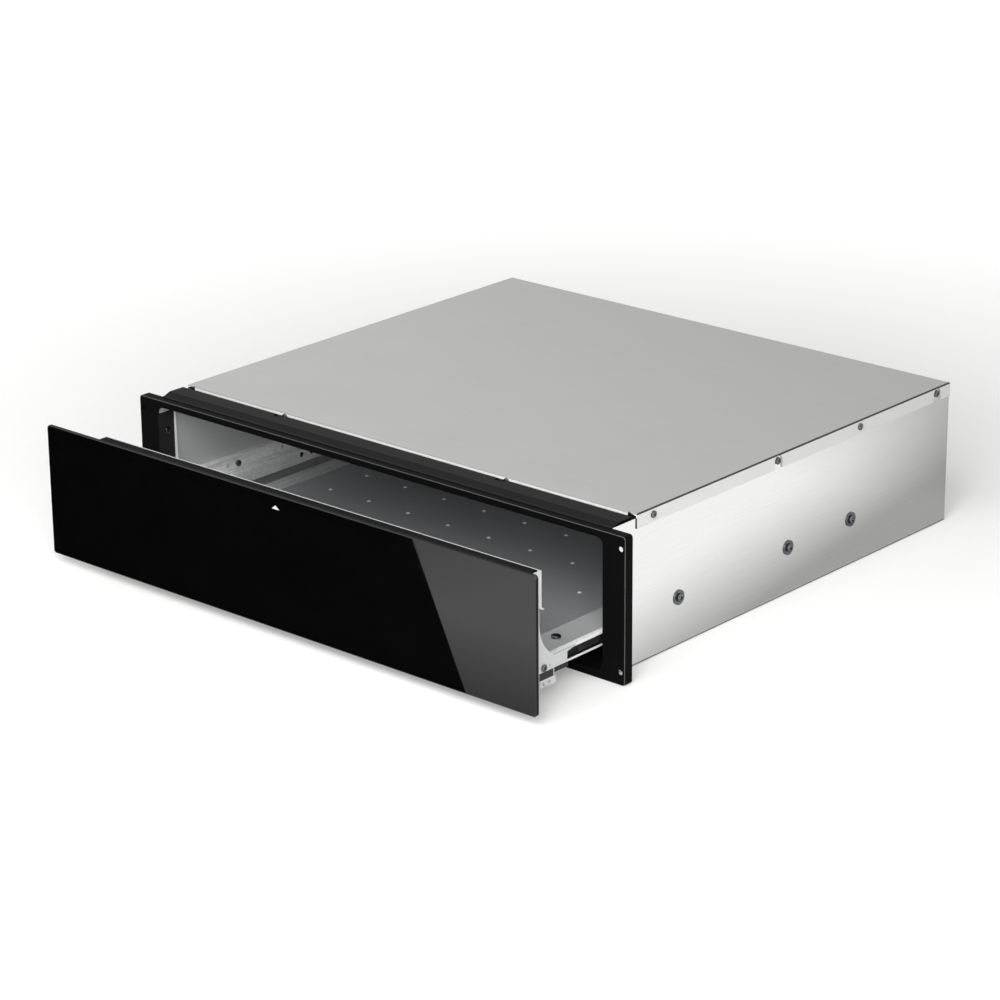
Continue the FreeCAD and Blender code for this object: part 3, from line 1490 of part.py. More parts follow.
def catch_body():
    """Catch housing on the bottom panel with the bore that the plunger slides in."""
    half = catch_width / 2
    body = box(-half, half, catch_face_y, duct_y, panel_sheet, panel_sheet + catch_height)
    upright = [edge for edge in body.Edges if on_plane(edge.Length, catch_height)]
    body = body.makeFillet(catch_corner, upright)
    depth = catch_travel + catch_bore_spare
    bore = rod("y", 0, catch_axis_z, catch_face_y - beyond, catch_face_y + depth,
               catch_plunger_radius + shaft_clearance)
    return body.cut(bore)


def catch_plunger():
    """Sprung plunger with a rounded nose."""
    body = rod("y", 0, catch_axis_z, catch_nose_y, catch_face_y + catch_plunger_tail, catch_plunger_radius)
    nose = [edge for edge in body.Edges if edge.Closed and on_plane(edge.CenterOfMass.y, catch_nose_y)]
    return body.makeFillet(catch_nose_round, nose)


def nodes():
    """Every piece by its name."""
    panel = side_panel()
    wall_rail = cabinet_rail()
    between_rail = middle_rail()
    moving_rail = drawer_rail()
    front_bearer, rear_bearer = [bearer(y) for y in bearer_places()]
    pieces = {
        "side_panel_right": panel,
        "side_panel_left": mirrored(panel),
        "bottom_panel": bottom_panel(),
        "back_panel": back_panel(),
        "top_cover": top_cover(),
        "front_frame": front_frame(),
        "top_strip": top_strip(),
        "cover_screws": cover_screws(),
        "frame_screws": frame_screws(),
        "slide_right_cabinet_rail": wall_rail,
        "slide_left_cabinet_rail": mirrored(wall_rail),
        "slide_right_middle_rail": between_rail,
        "slide_left_middle_rail": mirrored(between_rail),
        "slide_right_drawer_rail": moving_rail,
        "slide_left_drawer_rail": mirrored(moving_rail),
        "slide_screws": slide_screws(),
        "slide_washers": slide_washers(),
        "slide_nuts": slide_nuts(),
        "glass_front": glass_front(),
        "glass_tape": glass_tape(),
        "front_support": front_support(),
        "inner_panel": inner_panel(),
        "drawer_front_screws": drawer_front_screws(),
        "bracket_right": bracket("right"),
        "bracket_left": bracket("left"),
        "bracket_screws": bracket_screws(),
        "rail_end_blocks": end_blocks(),
        "rail_clips": rail_clips(),
        "tray_base": tray_base(),
        "tray_screws": tray_screws(),
        "floor_plate": floor_plate(),
        "side_trim": side_trim(),
        "cross_bearer_front": front_bearer,
        "cross_bearer_rear": rear_bearer,
        "striker": striker(),
        "temperature_knob": temperature_knob(),
        "thermostat": thermostat(),
        "power_rocker": power_rocker(),
        "switch_body": switch_body(),
        "indicator_lamp": indicator_lamp(),
        "duct_cover": duct_cover(),
        "motor_plate": motor_plate(),
        "fan_motor": motor(),
        "motor_coil": motor_coil(),
        "fan_impeller": fan_impeller(),
        "fan_shaft": fan_shaft(),
        "heating_element": heating_element(),
        "thermal_cutout": thermal_cutout(),
        "terminal_block": terminal_block(),
        "cord_gland": cord_gland(),
        "catch_body": catch_body(),
        "catch_plunger": catch_plunger(),
    }
    for row in ("outer", "inner"):
        cage = ball_cage(row)
        right_balls = balls(row)
        pieces[f"slide_right_{row}_cage"] = cage
        pieces[f"slide_left_{row}_cage"] = mirrored(cage)
        pieces[f"slide_right_{row}_balls"] = right_balls
        pieces[f"slide_left_{row}_balls"] = mirrored(right_balls)
    return pieces


os.makedirs("parts", exist_ok=True)
for name, shape in nodes().items():
    shape.exportStep(os.path.join("parts", name + ".step"))
    limits = shape.BoundBox
    print(f"{name}: {len(shape.Solids)} solid(s), {shape.Volume / 1000:.1f} cm3,",
          f"x {limits.XMin:.1f}..{limits.XMax:.1f} y {limits.YMin:.1f}..{limits.YMax:.1f}",
          f"z {limits.ZMin:.1f}..{limits.ZMax:.1f}")
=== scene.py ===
import math
import bmesh
import bpy
import numpy as np
from mathutils import Matrix, Vector


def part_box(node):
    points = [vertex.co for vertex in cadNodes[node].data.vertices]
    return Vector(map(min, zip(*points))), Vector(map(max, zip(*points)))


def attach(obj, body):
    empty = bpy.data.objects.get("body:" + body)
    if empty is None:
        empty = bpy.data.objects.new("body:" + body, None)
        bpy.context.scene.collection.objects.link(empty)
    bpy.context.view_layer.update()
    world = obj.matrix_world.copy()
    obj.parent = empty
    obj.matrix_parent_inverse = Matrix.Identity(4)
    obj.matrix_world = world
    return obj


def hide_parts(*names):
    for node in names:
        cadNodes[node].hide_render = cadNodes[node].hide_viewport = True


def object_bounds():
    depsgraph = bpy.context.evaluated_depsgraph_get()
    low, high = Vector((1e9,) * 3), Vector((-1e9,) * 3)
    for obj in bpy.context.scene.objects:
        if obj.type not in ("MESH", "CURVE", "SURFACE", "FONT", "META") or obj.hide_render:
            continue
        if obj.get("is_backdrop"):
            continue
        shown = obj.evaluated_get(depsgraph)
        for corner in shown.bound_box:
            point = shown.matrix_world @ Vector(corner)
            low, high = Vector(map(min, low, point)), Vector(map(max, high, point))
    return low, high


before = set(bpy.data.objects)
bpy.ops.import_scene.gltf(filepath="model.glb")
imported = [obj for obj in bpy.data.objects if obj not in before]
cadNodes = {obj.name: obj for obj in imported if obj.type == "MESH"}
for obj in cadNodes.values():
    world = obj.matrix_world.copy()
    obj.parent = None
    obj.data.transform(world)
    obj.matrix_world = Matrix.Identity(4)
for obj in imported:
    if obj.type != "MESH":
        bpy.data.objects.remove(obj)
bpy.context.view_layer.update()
print("frame loaded with", len(cadNodes), "nodes")

scene = bpy.context.scene
scene.view_settings.view_transform = "Standard"


# Shared helpers for colours, nodes and meshes

def linearColour(hexText):
    # sRGB hex to the linear values that shaders take
    channels = [int(hexText[i:i + 2], 16) / 255 for i in (1, 3, 5)]
    return tuple(c / 12.92 if c <= 0.04045 else ((c + 0.055) / 1.055) ** 2.4 for c in channels) + (1.0,)


def addNode(tree, kind, settings=None, links=None):
    # one node with its settings (sockets or properties) and what feeds its sockets
    node = tree.nodes.new(kind)
    for key, value in (settings or {}).items():
        if isinstance(key, int) or key in node.inputs:
            node.inputs[key].default_value = value
        else:
            setattr(node, key, value)
    for key, source in (links or {}).items():
        tree.links.new(source, node.inputs[key])
    return node


def newFinish(name):
    # an empty material with its surface output; gives the tree and coordinates in metres on the object
    material = bpy.data.materials.new(name)
    material.use_nodes = True
    tree = material.node_tree
    tree.nodes.clear()
    output = addNode(tree, "ShaderNodeOutputMaterial")
    place = addNode(tree, "ShaderNodeTexCoord").outputs["Object"]
    return material, tree, output, place


def perMm(size):
    # texture scale for a pattern that repeats about every size millimetres
    return 1000.0 / size


def noiseShare(tree, place, size, detail, **more):
    # noise between 0 and 1 whose features are about size millimetres wide
    settings = {"Scale": perMm(size), "Detail": detail, **more}
    return addNode(tree, "ShaderNodeTexNoise", settings, {"Vector": place}).outputs["Fac"]


def mapShare(tree, value, low, high, start=0.0, end=1.0):
    # moves a value from the range start...end to the range low...high
    settings = {"From Min": start, "From Max": end, "To Min": low, "To Max": high}
    return addNode(tree, "ShaderNodeMapRange", settings, {"Value": value}).outputs["Result"]


def blend(tree, share, dark, light):
    # colour between two hex tones
    settings = {"data_type": "RGBA", 6: linearColour(dark), 7: linearColour(light)}
    return addNode(tree, "ShaderNodeMix", settings, {0: share}).outputs[2]


def relief(tree, height, strength, depthMm):
    # normal of a fine relief
    settings = {"Strength": strength, "Distance": depthMm / 1000}
    return addNode(tree, "ShaderNodeBump", settings, {"Height": height}).outputs["Normal"]


def endFinish(tree, output, settings, sources):
    # the shader that a finish ends in
    shader = addNode(tree, "ShaderNodeBsdfPrincipled", settings, sources)
    tree.links.new(shader.outputs["BSDF"], output.inputs["Surface"])


def meshObject(name, bm, smooth=False):
    # puts a finished bmesh into the scene
    mesh = bpy.data.meshes.new(name)
    bm.to_mesh(mesh)
    bm.free()
    obj = bpy.data.objects.new(name, mesh)
    scene.collection.objects.link(obj)
    for polygon in mesh.polygons:
        polygon.use_smooth = smooth
    return obj


def dress(material, *names):
    # gives CAD nodes their finish
    for name in names:
        mesh = cadNodes[name].data
        mesh.materials.clear()
        mesh.materials.append(material)


def dressWhere(material, name, test):
    # second finish for the faces that a test picks by their normal and centre
    mesh = cadNodes[name].data
    mesh.materials.append(material)
    for polygon in mesh.polygons:
        if test(polygon.normal, polygon.center):
            polygon.material_index = len(mesh.materials) - 1


straight = 0.98        # least share of a normal along its axis for a flat face
faceReach = 0.0002     # how far in metres a face may lie from the level asked for


def dressFaces(material, name, axis, sign, level):
    # second finish for the flat faces that look along one axis and lie at one level in metres
    dressWhere(material, name, lambda normal, centre: sign * normal[axis] > straight
               and abs(centre[axis] - level) < faceReach)


noiseStart, noiseEnd = 0.3, 0.7     # most values of a noise lie between these


# Sheet metals

sheetBase = {"lineDetail": 3.0, "lineBreak": 0.6, "cloudDetail": 4.0, "grainDetail": 2.0,
             "toneEnd": 0.75}     # a sheet's lightest tone is reached here, without its grain


def rolledSheet(name, look):
    # Zinc-coated or stainless sheet: skin-passed rolling leaves faint lines along one way and a slight
    # unevenness of the coat, so reflections are soft and a little cloudy.
    material, tree, output, place = newFinish(name)
    stretch = addNode(tree, "ShaderNodeMapping", {"Scale": look["lineStretch"]}, {"Vector": place})
    lines = noiseShare(tree, stretch.outputs["Vector"], look["lineMm"], sheetBase["lineDetail"],
                       Roughness=sheetBase["lineBreak"])
    cloud = noiseShare(tree, place, look["cloudMm"], sheetBase["cloudDetail"])
    grain = noiseShare(tree, place, look["grainMm"], sheetBase["grainDetail"])
    both = addNode(tree, "ShaderNodeMath", {"operation": "MULTIPLY_ADD", 1: look["grainShare"]},
                   {0: grain, 2: lines}).outputs["Value"]
    tone = mapShare(tree, both, 0.0, 1.0, noiseStart, sheetBase["toneEnd"] + look["grainShare"])
    spread = look["roughnessSpread"]
    endFinish(tree, output, {"Metallic": look["metallic"]}, {
        "Base Color": blend(tree, tone, look["dark"], look["light"]),
        "Roughness": mapShare(tree, cloud, look["roughness"] - spread, look["roughness"] + spread,
                              noiseStart, noiseEnd),     # a little cloudy
        "Normal": relief(tree, both, look["bump"], look["bumpMm"])})
    return material


coverLook = {
    "light": "#C2C2C1", "dark": "#B9B9B8", "metallic": 1.0,
    "roughness": 0.42, "roughnessSpread": 0.04,
    "lineStretch": (0.02, 1.0, 1.0), "lineMm": 1.2,     # rolling lines run across the cover
    "cloudMm": 90.0,
    "grainMm": 0.9, "grainShare": 0.35,                 # finer than real, coarse enough to show
    "bump": 0.05, "bumpMm": 0.02,
}
sideLook = {
    "light": "#E8E8E7", "dark": "#DFDFDE", "metallic": 1.0,    # bright coat that mirrors the floor softly
    "roughness": 0.16, "roughnessSpread": 0.02,
    "lineStretch": (1.0, 0.02, 1.0), "lineMm": 0.9,
    "cloudMm": 60.0,
    "grainMm": 0.7, "grainShare": 0.3,
    "bump": 0.04, "bumpMm": 0.01,
}
innerLook = {
    "light": "#D6D7D7", "dark": "#BFC0C0", "metallic": 0.3,    # the passivation film scatters some light
    "roughness": 0.42, "roughnessSpread": 0.06,
    "lineStretch": (0.03, 1.0, 1.0), "lineMm": 1.0,
    "cloudMm": 30.0,
    "grainMm": 0.8, "grainShare": 0.6,
    "bump": 0.08, "bumpMm": 0.02,
}
plateLook = {
    "light": "#CDCFD0", "dark": "#BCBEC0", "metallic": 0.55,   # fine scouring scatters part of the light
    "roughness": 0.13, "roughnessSpread": 0.03,
    "lineStretch": (0.01, 1.0, 1.0), "lineMm": 0.6,     # polished stainless keeps its fine grinding lines
    "cloudMm": 40.0,
    "grainMm": 0.6, "grainShare": 0.2,
    "bump": 0.04, "bumpMm": 0.01,
}
litLipLook = dict(coverLook, light="#F4F4F3", dark="#EAEAE9", metallic=0.15)     # painted light: a paler, duller copy of the cover's sheet, for its lit front lip and the folds
litFlankLook = dict(coverLook, light="#D8D8D7", dark="#D1D1D0", metallic=0.15)   # painted light: a lit copy of the cover's sheet for its side lips, a little greyer than the lip's
darkBendLook = dict(coverLook, light="#5A5A59", dark="#4C4C4B", roughness=0.5)    # painted shade: the bends coloured dark and dull, for the dark line along them
bottomShadeLook = dict(sideLook, light="#8E8F8F", dark="#7C7D7D", roughness=0.4)     # painted shade: the bottom panel's inner face darkened beside the tray, and dull
pipGlintLook = dict(plateLook, light="#F4F5F5", dark="#E6E7E8", metallic=0.1)      # painted highlight: the pips coloured near white and matt, to show as glints
sheetLevels = {             # metres
    "coverUnder": 0.139, "bottomInner": 0.001, "panelInner": 0.2735, "backInner": 0.255,
    "bendFoot": 0.13,       # the cover's bends lie above this
    "pipFoot": 0.0313,      # the plate's pips stand above this
}
bendSlope = 0.1             # a bend's faces slope at least this much both ways
notchShadeLook = {"level": 0.1368, "fade": 0.0008, "tone": "#3A3A39"}    # painted shade in the gap behind the strip


def shadeBelow(material, look):
    # turns a finish's colour to a darker tone below a level
    tree = material.node_tree
    shader = next(node for node in tree.nodes if node.type == "BSDF_PRINCIPLED")
    place = addNode(tree, "ShaderNodeTexCoord").outputs["Object"]
    height = addNode(tree, "ShaderNodeSeparateXYZ", {}, {"Vector": place}).outputs["Z"]
    share = mapShare(tree, height, 0.0, 1.0, look["level"] - look["fade"], look["level"])
    plain = shader.inputs["Base Color"].links[0].from_socket
    colour = addNode(tree, "ShaderNodeMix", {"data_type": "RGBA", 6: linearColour(look["tone"])},
                     {0: share, 7: plain})
    tree.links.new(colour.outputs[2], shader.inputs["Base Color"])


def isBend(normal, centre):
    # faces of the rounded bends between the cover's top and its side lips
    tilted = bendSlope < abs(normal.x) < straight and normal.z > bendSlope
    return tilted and centre.z > sheetLevels["bendFoot"]


coverSteel = rolledSheet("zinc_coated_sheet_satin", coverLook)
bottomShadeSteel = rolledSheet("zinc_coated_sheet_painted_shade", bottomShadeLook)
paintedHighlightSteel = rolledSheet("zinc_coated_sheet_painted_highlight", litLipLook)
sideSteel = rolledSheet("zinc_coated_sheet_bright", sideLook)
innerSteel = rolledSheet("zinc_coated_sheet_inner", innerLook)
polishedSteel = rolledSheet("stainless_sheet_polished", plateLook)
dress(coverSteel, "top_cover")
dress(sideSteel, "side_panel_right", "side_panel_left", "bottom_panel", "back_panel")
dress(innerSteel, "duct_cover", "motor_plate", "tray_base", "cross_bearer_front", "cross_bearer_rear",
      "bracket_right", "bracket_left", "inner_panel", "side_trim", "striker", "rail_clips")
dress(polishedSteel, "floor_plate")

# The cover's front lip and side lips get paler copies of its sheet as painted light, the bends a painted
# shade, the underside the inner finish
coverLow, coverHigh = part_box("top_cover")
litShadedLipSteel = rolledSheet("zinc_coated_sheet_painted_lit_shaded_lip", litLipLook)
# painted shade on the lip below a level, seen through the strip's notches
shadeBelow(litShadedLipSteel, notchShadeLook)
dressFaces(litShadedLipSteel, "top_cover", 1, -1, coverLow.y)
litFlankSteel = rolledSheet("zinc_coated_sheet_painted_lit_flank", litFlankLook)
dressFaces(litFlankSteel, "top_cover", 0, 1, coverHigh.x)
dressFaces(litFlankSteel, "top_cover", 0, -1, coverLow.x)
dressWhere(rolledSheet("zinc_coated_sheet_painted_dark_bend", darkBendLook), "top_cover", isBend)
dressFaces(innerSteel, "top_cover", 2, -1, sheetLevels["coverUnder"])

# The other sheets' inner faces, the bottom panel's with painted shade, and the plate's pips with a painted
# highlight
dressFaces(bottomShadeSteel, "bottom_panel", 2, 1, sheetLevels["bottomInner"])
dressFaces(innerSteel, "side_panel_left", 0, 1, -sheetLevels["panelInner"])
dressFaces(innerSteel, "side_panel_right", 0, -1, sheetLevels["panelInner"])
dressFaces(innerSteel, "back_panel", 1, -1, sheetLevels["backInner"])
dressWhere(rolledSheet("stainless_sheet_painted_glint_pips", pipGlintLook), "floor_plate",
           lambda normal, centre: centre.z > sheetLevels["pipFoot"])
print("sheet metals done")


# Slides

zincBase = {"cloudDetail": 5.0, "crystalShare": 0.6, "toneStart": 0.35, "toneEnd": 1.1, "bumpMm": 0.02}


def speckledZinc(name, look):
    # Cold-rolled steel with barrel zinc plating: fine bright and dull crystals of a millimetre or so.
    material, tree, output, place = newFinish(name)
    crystals = addNode(tree, "ShaderNodeTexVoronoi", {"Scale": perMm(look["crystalMm"])}, {"Vector": place})
    cloud = noiseShare(tree, place, look["cloudMm"], zincBase["cloudDetail"])
    both = addNode(tree, "ShaderNodeMath", {"operation": "MULTIPLY_ADD", 1: zincBase["crystalShare"]},
                   {0: crystals.outputs["Color"], 2: cloud}).outputs["Value"]
    tone = mapShare(tree, both, 0.0, 1.0, zincBase["toneStart"], zincBase["toneEnd"])
    endFinish(tree, output, {"Metallic": look["metallic"]}, {
        "Base Color": blend(tree, tone, look["dark"], look["light"]),
        "Roughness": mapShare(tree, tone, look["smooth"], look["rough"]),
        "Normal": relief(tree, both, look["bump"], zincBase["bumpMm"])})
    return material


railLook = {"light": "#FDFDFD", "dark": "#D8DADA", "metallic": 0.05, "crystalMm": 1.1, "cloudMm": 14.0,
            "smooth": 0.3, "rough": 0.5, "bump": 0.12}     # pale, with a soft sparkle
channelShadeLook = {"light": "#3E3E3D", "dark": "#1B1B1B", "metallic": 0.5, "crystalMm": 0.9, "cloudMm": 9.0,
               "smooth": 0.35, "rough": 0.6, "bump": 0.3}     # grease with metal dust where the balls run, and painted shade inside the channels
screwLook = {"light": "#7E8082", "dark": "#4E5052", "metallic": 1.0, "crystalMm": 0.5, "cloudMm": 4.0,
             "smooth": 0.12, "rough": 0.24, "bump": 0.05}     # small sharp highlights on a darker head
ballLook = {"light": "#EDEDED", "dark": "#E2E2E2", "metallic": 1.0, "crystalMm": 0.4, "cloudMm": 3.0,
            "smooth": 0.05, "rough": 0.08, "bump": 0.0}     # clean mirrors
greasedShadedFaces = {"web": 0.261, "upperLip": 0.040, "lowerLip": 0.0285}     # metres, on the drawer rails
railSteel = speckledZinc("cold_rolled_steel_zinc_plated", railLook)
greaseAndShadeSteel = speckledZinc("rail_steel_grease_and_painted_shade", channelShadeLook)
screwSteel = speckledZinc("screw_steel_bright_zinc", screwLook)
ballSteel = speckledZinc("bearing_steel_polished", ballLook)
for side, sign in (("right", 1), ("left", -1)):
    drawerRail = f"slide_{side}_drawer_rail"
    dress(railSteel, drawerRail, f"slide_{side}_cabinet_rail", f"slide_{side}_outer_cage",
          f"slide_{side}_inner_cage")
    dress(greaseAndShadeSteel, f"slide_{side}_middle_rail")
    dress(ballSteel, f"slide_{side}_outer_balls", f"slide_{side}_inner_balls")
    # painted shade: the drawer rail's channel faces take the dark greased finish
    dressFaces(greaseAndShadeSteel, drawerRail, 0, sign, sign * greasedShadedFaces["web"])
    dressFaces(greaseAndShadeSteel, drawerRail, 2, -1, greasedShadedFaces["upperLip"])
    dressFaces(greaseAndShadeSteel, drawerRail, 2, 1, greasedShadedFaces["lowerLip"])
dress(screwSteel, "slide_washers", "slide_nuts", "fan_shaft")
print("slides done")


# Black finishes

coatBase = {"detail": 3.0, "ior": 1.5, "spread": 0.05, "bump": 0.25, "bumpMm": 0.06}
glassBase = {"waveDetail": 1.0, "wipeDetail": 6.0, "ior": 1.52, "wipeStart": 0.4, "spread": 0.02,
             "bump": 0.02, "bumpMm": 0.2}


def powderCoat(name, look):
    # Polyester powder coat, baked: a fine orange peel that breaks the gloss.
    material, tree, output, place = newFinish(name)
    peel = noiseShare(tree, place, look["peelMm"], coatBase["detail"])
    spread = coatBase["spread"]
    endFinish(tree, output, {"IOR": coatBase["ior"], "Specular IOR Level": look["gloss"]}, {
        "Base Color": blend(tree, peel, look["dark"], look["light"]),
        "Roughness": mapShare(tree, peel, look["roughness"] - spread, look["roughness"] + spread,
                              noiseStart, noiseEnd),
        "Normal": relief(tree, peel, coatBase["bump"], coatBase["bumpMm"])})
    return material


def backPaintedGlass(name, look):
    # Toughened float glass painted black behind: deep black with a clean reflection and a faint
    # waviness from the toughening furnace's rollers.
    material, tree, output, place = newFinish(name)
    wave = noiseShare(tree, place, look["rollerMm"], glassBase["waveDetail"])
    dust = noiseShare(tree, place, look["wipeMm"], glassBase["wipeDetail"])
    endFinish(tree, output, {"IOR": glassBase["ior"], "Specular IOR Level": look["gloss"]}, {
        "Base Color": blend(tree, dust, look["dark"], look["light"]),
        "Roughness": mapShare(tree, dust, look["roughness"], look["roughness"] + glassBase["spread"],
                              glassBase["wipeStart"], noiseEnd),
        "Normal": relief(tree, wave, glassBase["bump"], glassBase["bumpMm"])})
    return material


coatLook = {"light": "#0D0D0D", "dark": "#080808", "peelMm": 0.8, "roughness": 0.5, "gloss": 0.02}
stripLook = {"light": "#191919", "dark": "#131313", "peelMm": 0.8, "roughness": 0.5, "gloss": 0.05}
# painted light: a paler, glossier copy of the frame's coat for the left tab's face
litTabLook = {"light": "#2A2A2A", "dark": "#202020", "peelMm": 0.8, "roughness": 0.5, "gloss": 0.1}
# painted highlight: a paler copy of the frame's coat for its rounded front edges
edgeHighlightLook = {"light": "#585858", "dark": "#343434", "peelMm": 0.8, "roughness": 0.45, "gloss": 0.2}
edgeLook = {"light": "#1C1C1C", "dark": "#111111", "peelMm": 0.4, "roughness": 0.6, "gloss": 0.08}
glassLook = {"light": "#060606", "dark": "#040404", "rollerMm": 120.0, "wipeMm": 35.0,
             "roughness": 0.02, "gloss": 0.7}
frameTab = -0.2723                      # metres, the left tab's face inside the opening
frameEdge = (-0.93, -0.35)              # how far the faces of the frame's front edge look forward
dress(powderCoat("steel_black_powder_coat", coatLook), "front_frame", "front_support")
dress(powderCoat("steel_black_powder_coat_strip", stripLook), "top_strip")
dress(backPaintedGlass("toughened_glass_black_back", glassLook), "glass_front")
glassLow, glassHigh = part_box("glass_front")
groundEdge = powderCoat("toughened_glass_ground_edge", edgeLook)      # finely ground, so it stays dull
dressFaces(groundEdge, "glass_front", 2, 1, glassHigh.z)
dressFaces(groundEdge, "glass_front", 0, 1, glassHigh.x)
# painted light on the left tab's face
dressFaces(powderCoat("steel_black_powder_coat_painted_lit_tab", litTabLook), "front_frame", 0, 1, frameTab)
edgeHighlightCoat = powderCoat("steel_black_powder_coat_painted_highlight", edgeHighlightLook)     # painted highlight along the frame's rounded front edges
dressWhere(edgeHighlightCoat, "front_frame", lambda normal, centre: frameEdge[0] < normal.y < frameEdge[1])
print("black finishes done")


# Plastics, rubber and foam

mouldBase = {"detail": 4.0, "gloss": 0.4, "spread": 0.08, "bumpMm": 0.1}


def moulded(name, look):
    # Moulded or extruded: one even colour with a fine spark-eroded grain.
    material, tree, output, place = newFinish(name)
    grain = noiseShare(tree, place, look["grainMm"], mouldBase["detail"])
    spread = mouldBase["spread"]
    endFinish(tree, output, {"IOR": look["ior"], "Specular IOR Level": mouldBase["gloss"]}, {
        "Base Color": blend(tree, grain, look["dark"], look["light"]),
        "Roughness": mapShare(tree, grain, look["roughness"] - spread, look["roughness"] + spread),
        "Normal": relief(tree, grain, look["bump"], mouldBase["bumpMm"])})
    return material


mouldedLooks = {
    "polyamide_black": {"light": "#1B1B1C", "dark": "#121213", "grainMm": 0.5, "roughness": 0.5, "bump": 0.2,
                        "ior": 1.53,
                        "on": ("rail_end_blocks", "temperature_knob", "power_rocker", "switch_body",
                               "catch_body", "thermostat")},
    "acetal_grey": {"light": "#7C7F81", "dark": "#707375", "grainMm": 0.6, "roughness": 0.4, "bump": 0.1,
                    "ior": 1.48, "on": ("catch_plunger",)},
    "polyethylene_foam_tape": {"light": "#232323", "dark": "#0E0E0E", "grainMm": 0.4, "roughness": 0.85,
                               "bump": 0.7, "ior": 1.5, "on": ("glass_tape",)},
    "rubber_black": {"light": "#1A1A1A", "dark": "#101010", "grainMm": 0.7, "roughness": 0.65, "bump": 0.2,
                     "ior": 1.52, "on": ("cord_gland",)},
    "varnished_coil_tape": {"light": "#C98A3A", "dark": "#8E5A20", "grainMm": 1.5, "roughness": 0.4,
                            "bump": 0.3, "ior": 1.5, "on": ("motor_coil",)},
    "steatite_unglazed": {"light": "#EAE5DA", "dark": "#DAD4C6", "grainMm": 0.8, "roughness": 0.6,
                          "bump": 0.15, "ior": 1.6, "on": ("thermal_cutout",)},
    "polyamide_natural": {"light": "#ECEBE4", "dark": "#E0DED5", "grainMm": 0.6, "roughness": 0.42,
                          "bump": 0.12, "ior": 1.53, "on": ("terminal_block",)},
}
for name, look in mouldedLooks.items():
    dress(moulded(name, look), *look["on"])
print("plastics and rubber done")


# Fan and heater metals, and the lamp's lens

laminationLook = dict(innerLook, light="#8B8E91", dark="#5C5F62", metallic=0.9, roughness=0.45,
                      lineStretch=(0.05, 1.0, 0.05), lineMm=0.7,     # stacked sheets show as lines
                      bump=0.5, bumpMm=0.1)
impellerLook = dict(innerLook, light="#DADBDD", dark="#C6C8CA", metallic=1.0, roughness=0.3,
                    lineStretch=(1.0, 0.1, 1.0))
heaterLook = dict(innerLook, light="#7A756E", dark="#4E4A45", metallic=0.8, roughness=0.5, cloudMm=9.0,
                  lineStretch=(1.0, 1.0, 1.0), lineMm=5.0)   # scale of the first heating leaves brown patches
dress(rolledSheet("electrical_steel_laminated", laminationLook), "fan_motor")
dress(rolledSheet("aluminium_pressed", impellerLook), "fan_impeller")
dress(rolledSheet("heater_tube_oxidised", heaterLook), "heating_element")

lampLook = {"light": "#D8761C", "dark": "#B85E12", "roughness": 0.12, "ribMm": 1.8, "ior": 1.49,
            "clear": 0.35, "bump": 0.3, "bumpMm": 0.1}
waveBands = 3.15     # bands of a wave texture per unit at a scale of 1, nearly


def amberLens(name, look):
    # Clear acrylic, tinted: the light enters it and the small ribs inside break it up.
    material, tree, output, place = newFinish(name)
    ribs = addNode(tree, "ShaderNodeTexWave", {"Scale": perMm(look["ribMm"]) / waveBands},
                   {"Vector": place}).outputs["Fac"]
    settings = {"IOR": look["ior"], "Roughness": look["roughness"], "Transmission Weight": look["clear"]}
    endFinish(tree, output, settings, {
        "Base Color": blend(tree, ribs, look["dark"], look["light"]),
        "Normal": relief(tree, ribs, look["bump"], look["bumpMm"])})
    return material


dress(amberLens("acrylic_amber", lampLook), "indicator_lamp")
print("fan, heater and lamp done")


# Screws: each CAD screw gets a domed head with a pressed cross recess

screwShape = {
    "segments": 28,
    "foot": (0.94, 0.07),     # the rim's underside as a share of the radius, its rounding of the height
    "dome": 0.42,             # share of the head's height that is domed
    "domeStart": 0.75,        # share of the straight height where the dome starts
    "domeSteps": 8,
    "domeFullness": 0.62,     # below 1 makes the dome fuller than a round one
    "recessReach": 0.56,      # half length of the cross as a share of the head's radius
    "recessWidth": 0.17,
    "recessDepth": 0.62,      # share of the head's height
    "recessMouth": 1.08,      # the cross is wider at its mouth and narrower at its floor
    "recessFloor": 0.5,
    "cutterTop": 1.2,         # the cutter reaches past the head, as a share of its height
    "turnStep": 37.0,         # degrees from one screw to the next, as nobody lines them up
    "sharpAngle": 35.0,
    "weld": 1e-7,             # metres
}
screwReading = {"grid": 1e5, "rim": 0.97, "touch": 1e-5}     # steps per metre, share of the radius, metres


def looseParts(node):
    # points of the separate screws in one CAD node
    mesh = cadNodes[node].data
    places = np.array([v.co for v in mesh.vertices])
    groups = {}
    owner = list(range(len(places)))

    def top(i):
        while owner[i] != i:
            owner[i] = owner[owner[i]]
            i = owner[i]
        return i

    byPlace = {}
    for i, p in enumerate(np.round(places * screwReading["grid"]).astype(int)):
        owner[i] = top(byPlace.setdefault(tuple(p), i))
    for edge in mesh.edges:
        a, b = top(edge.vertices[0]), top(edge.vertices[1])
        owner[a] = b
    for i in range(len(places)):
        groups.setdefault(top(i), []).append(places[i])
    return [np.array(points) for points in groups.values()]


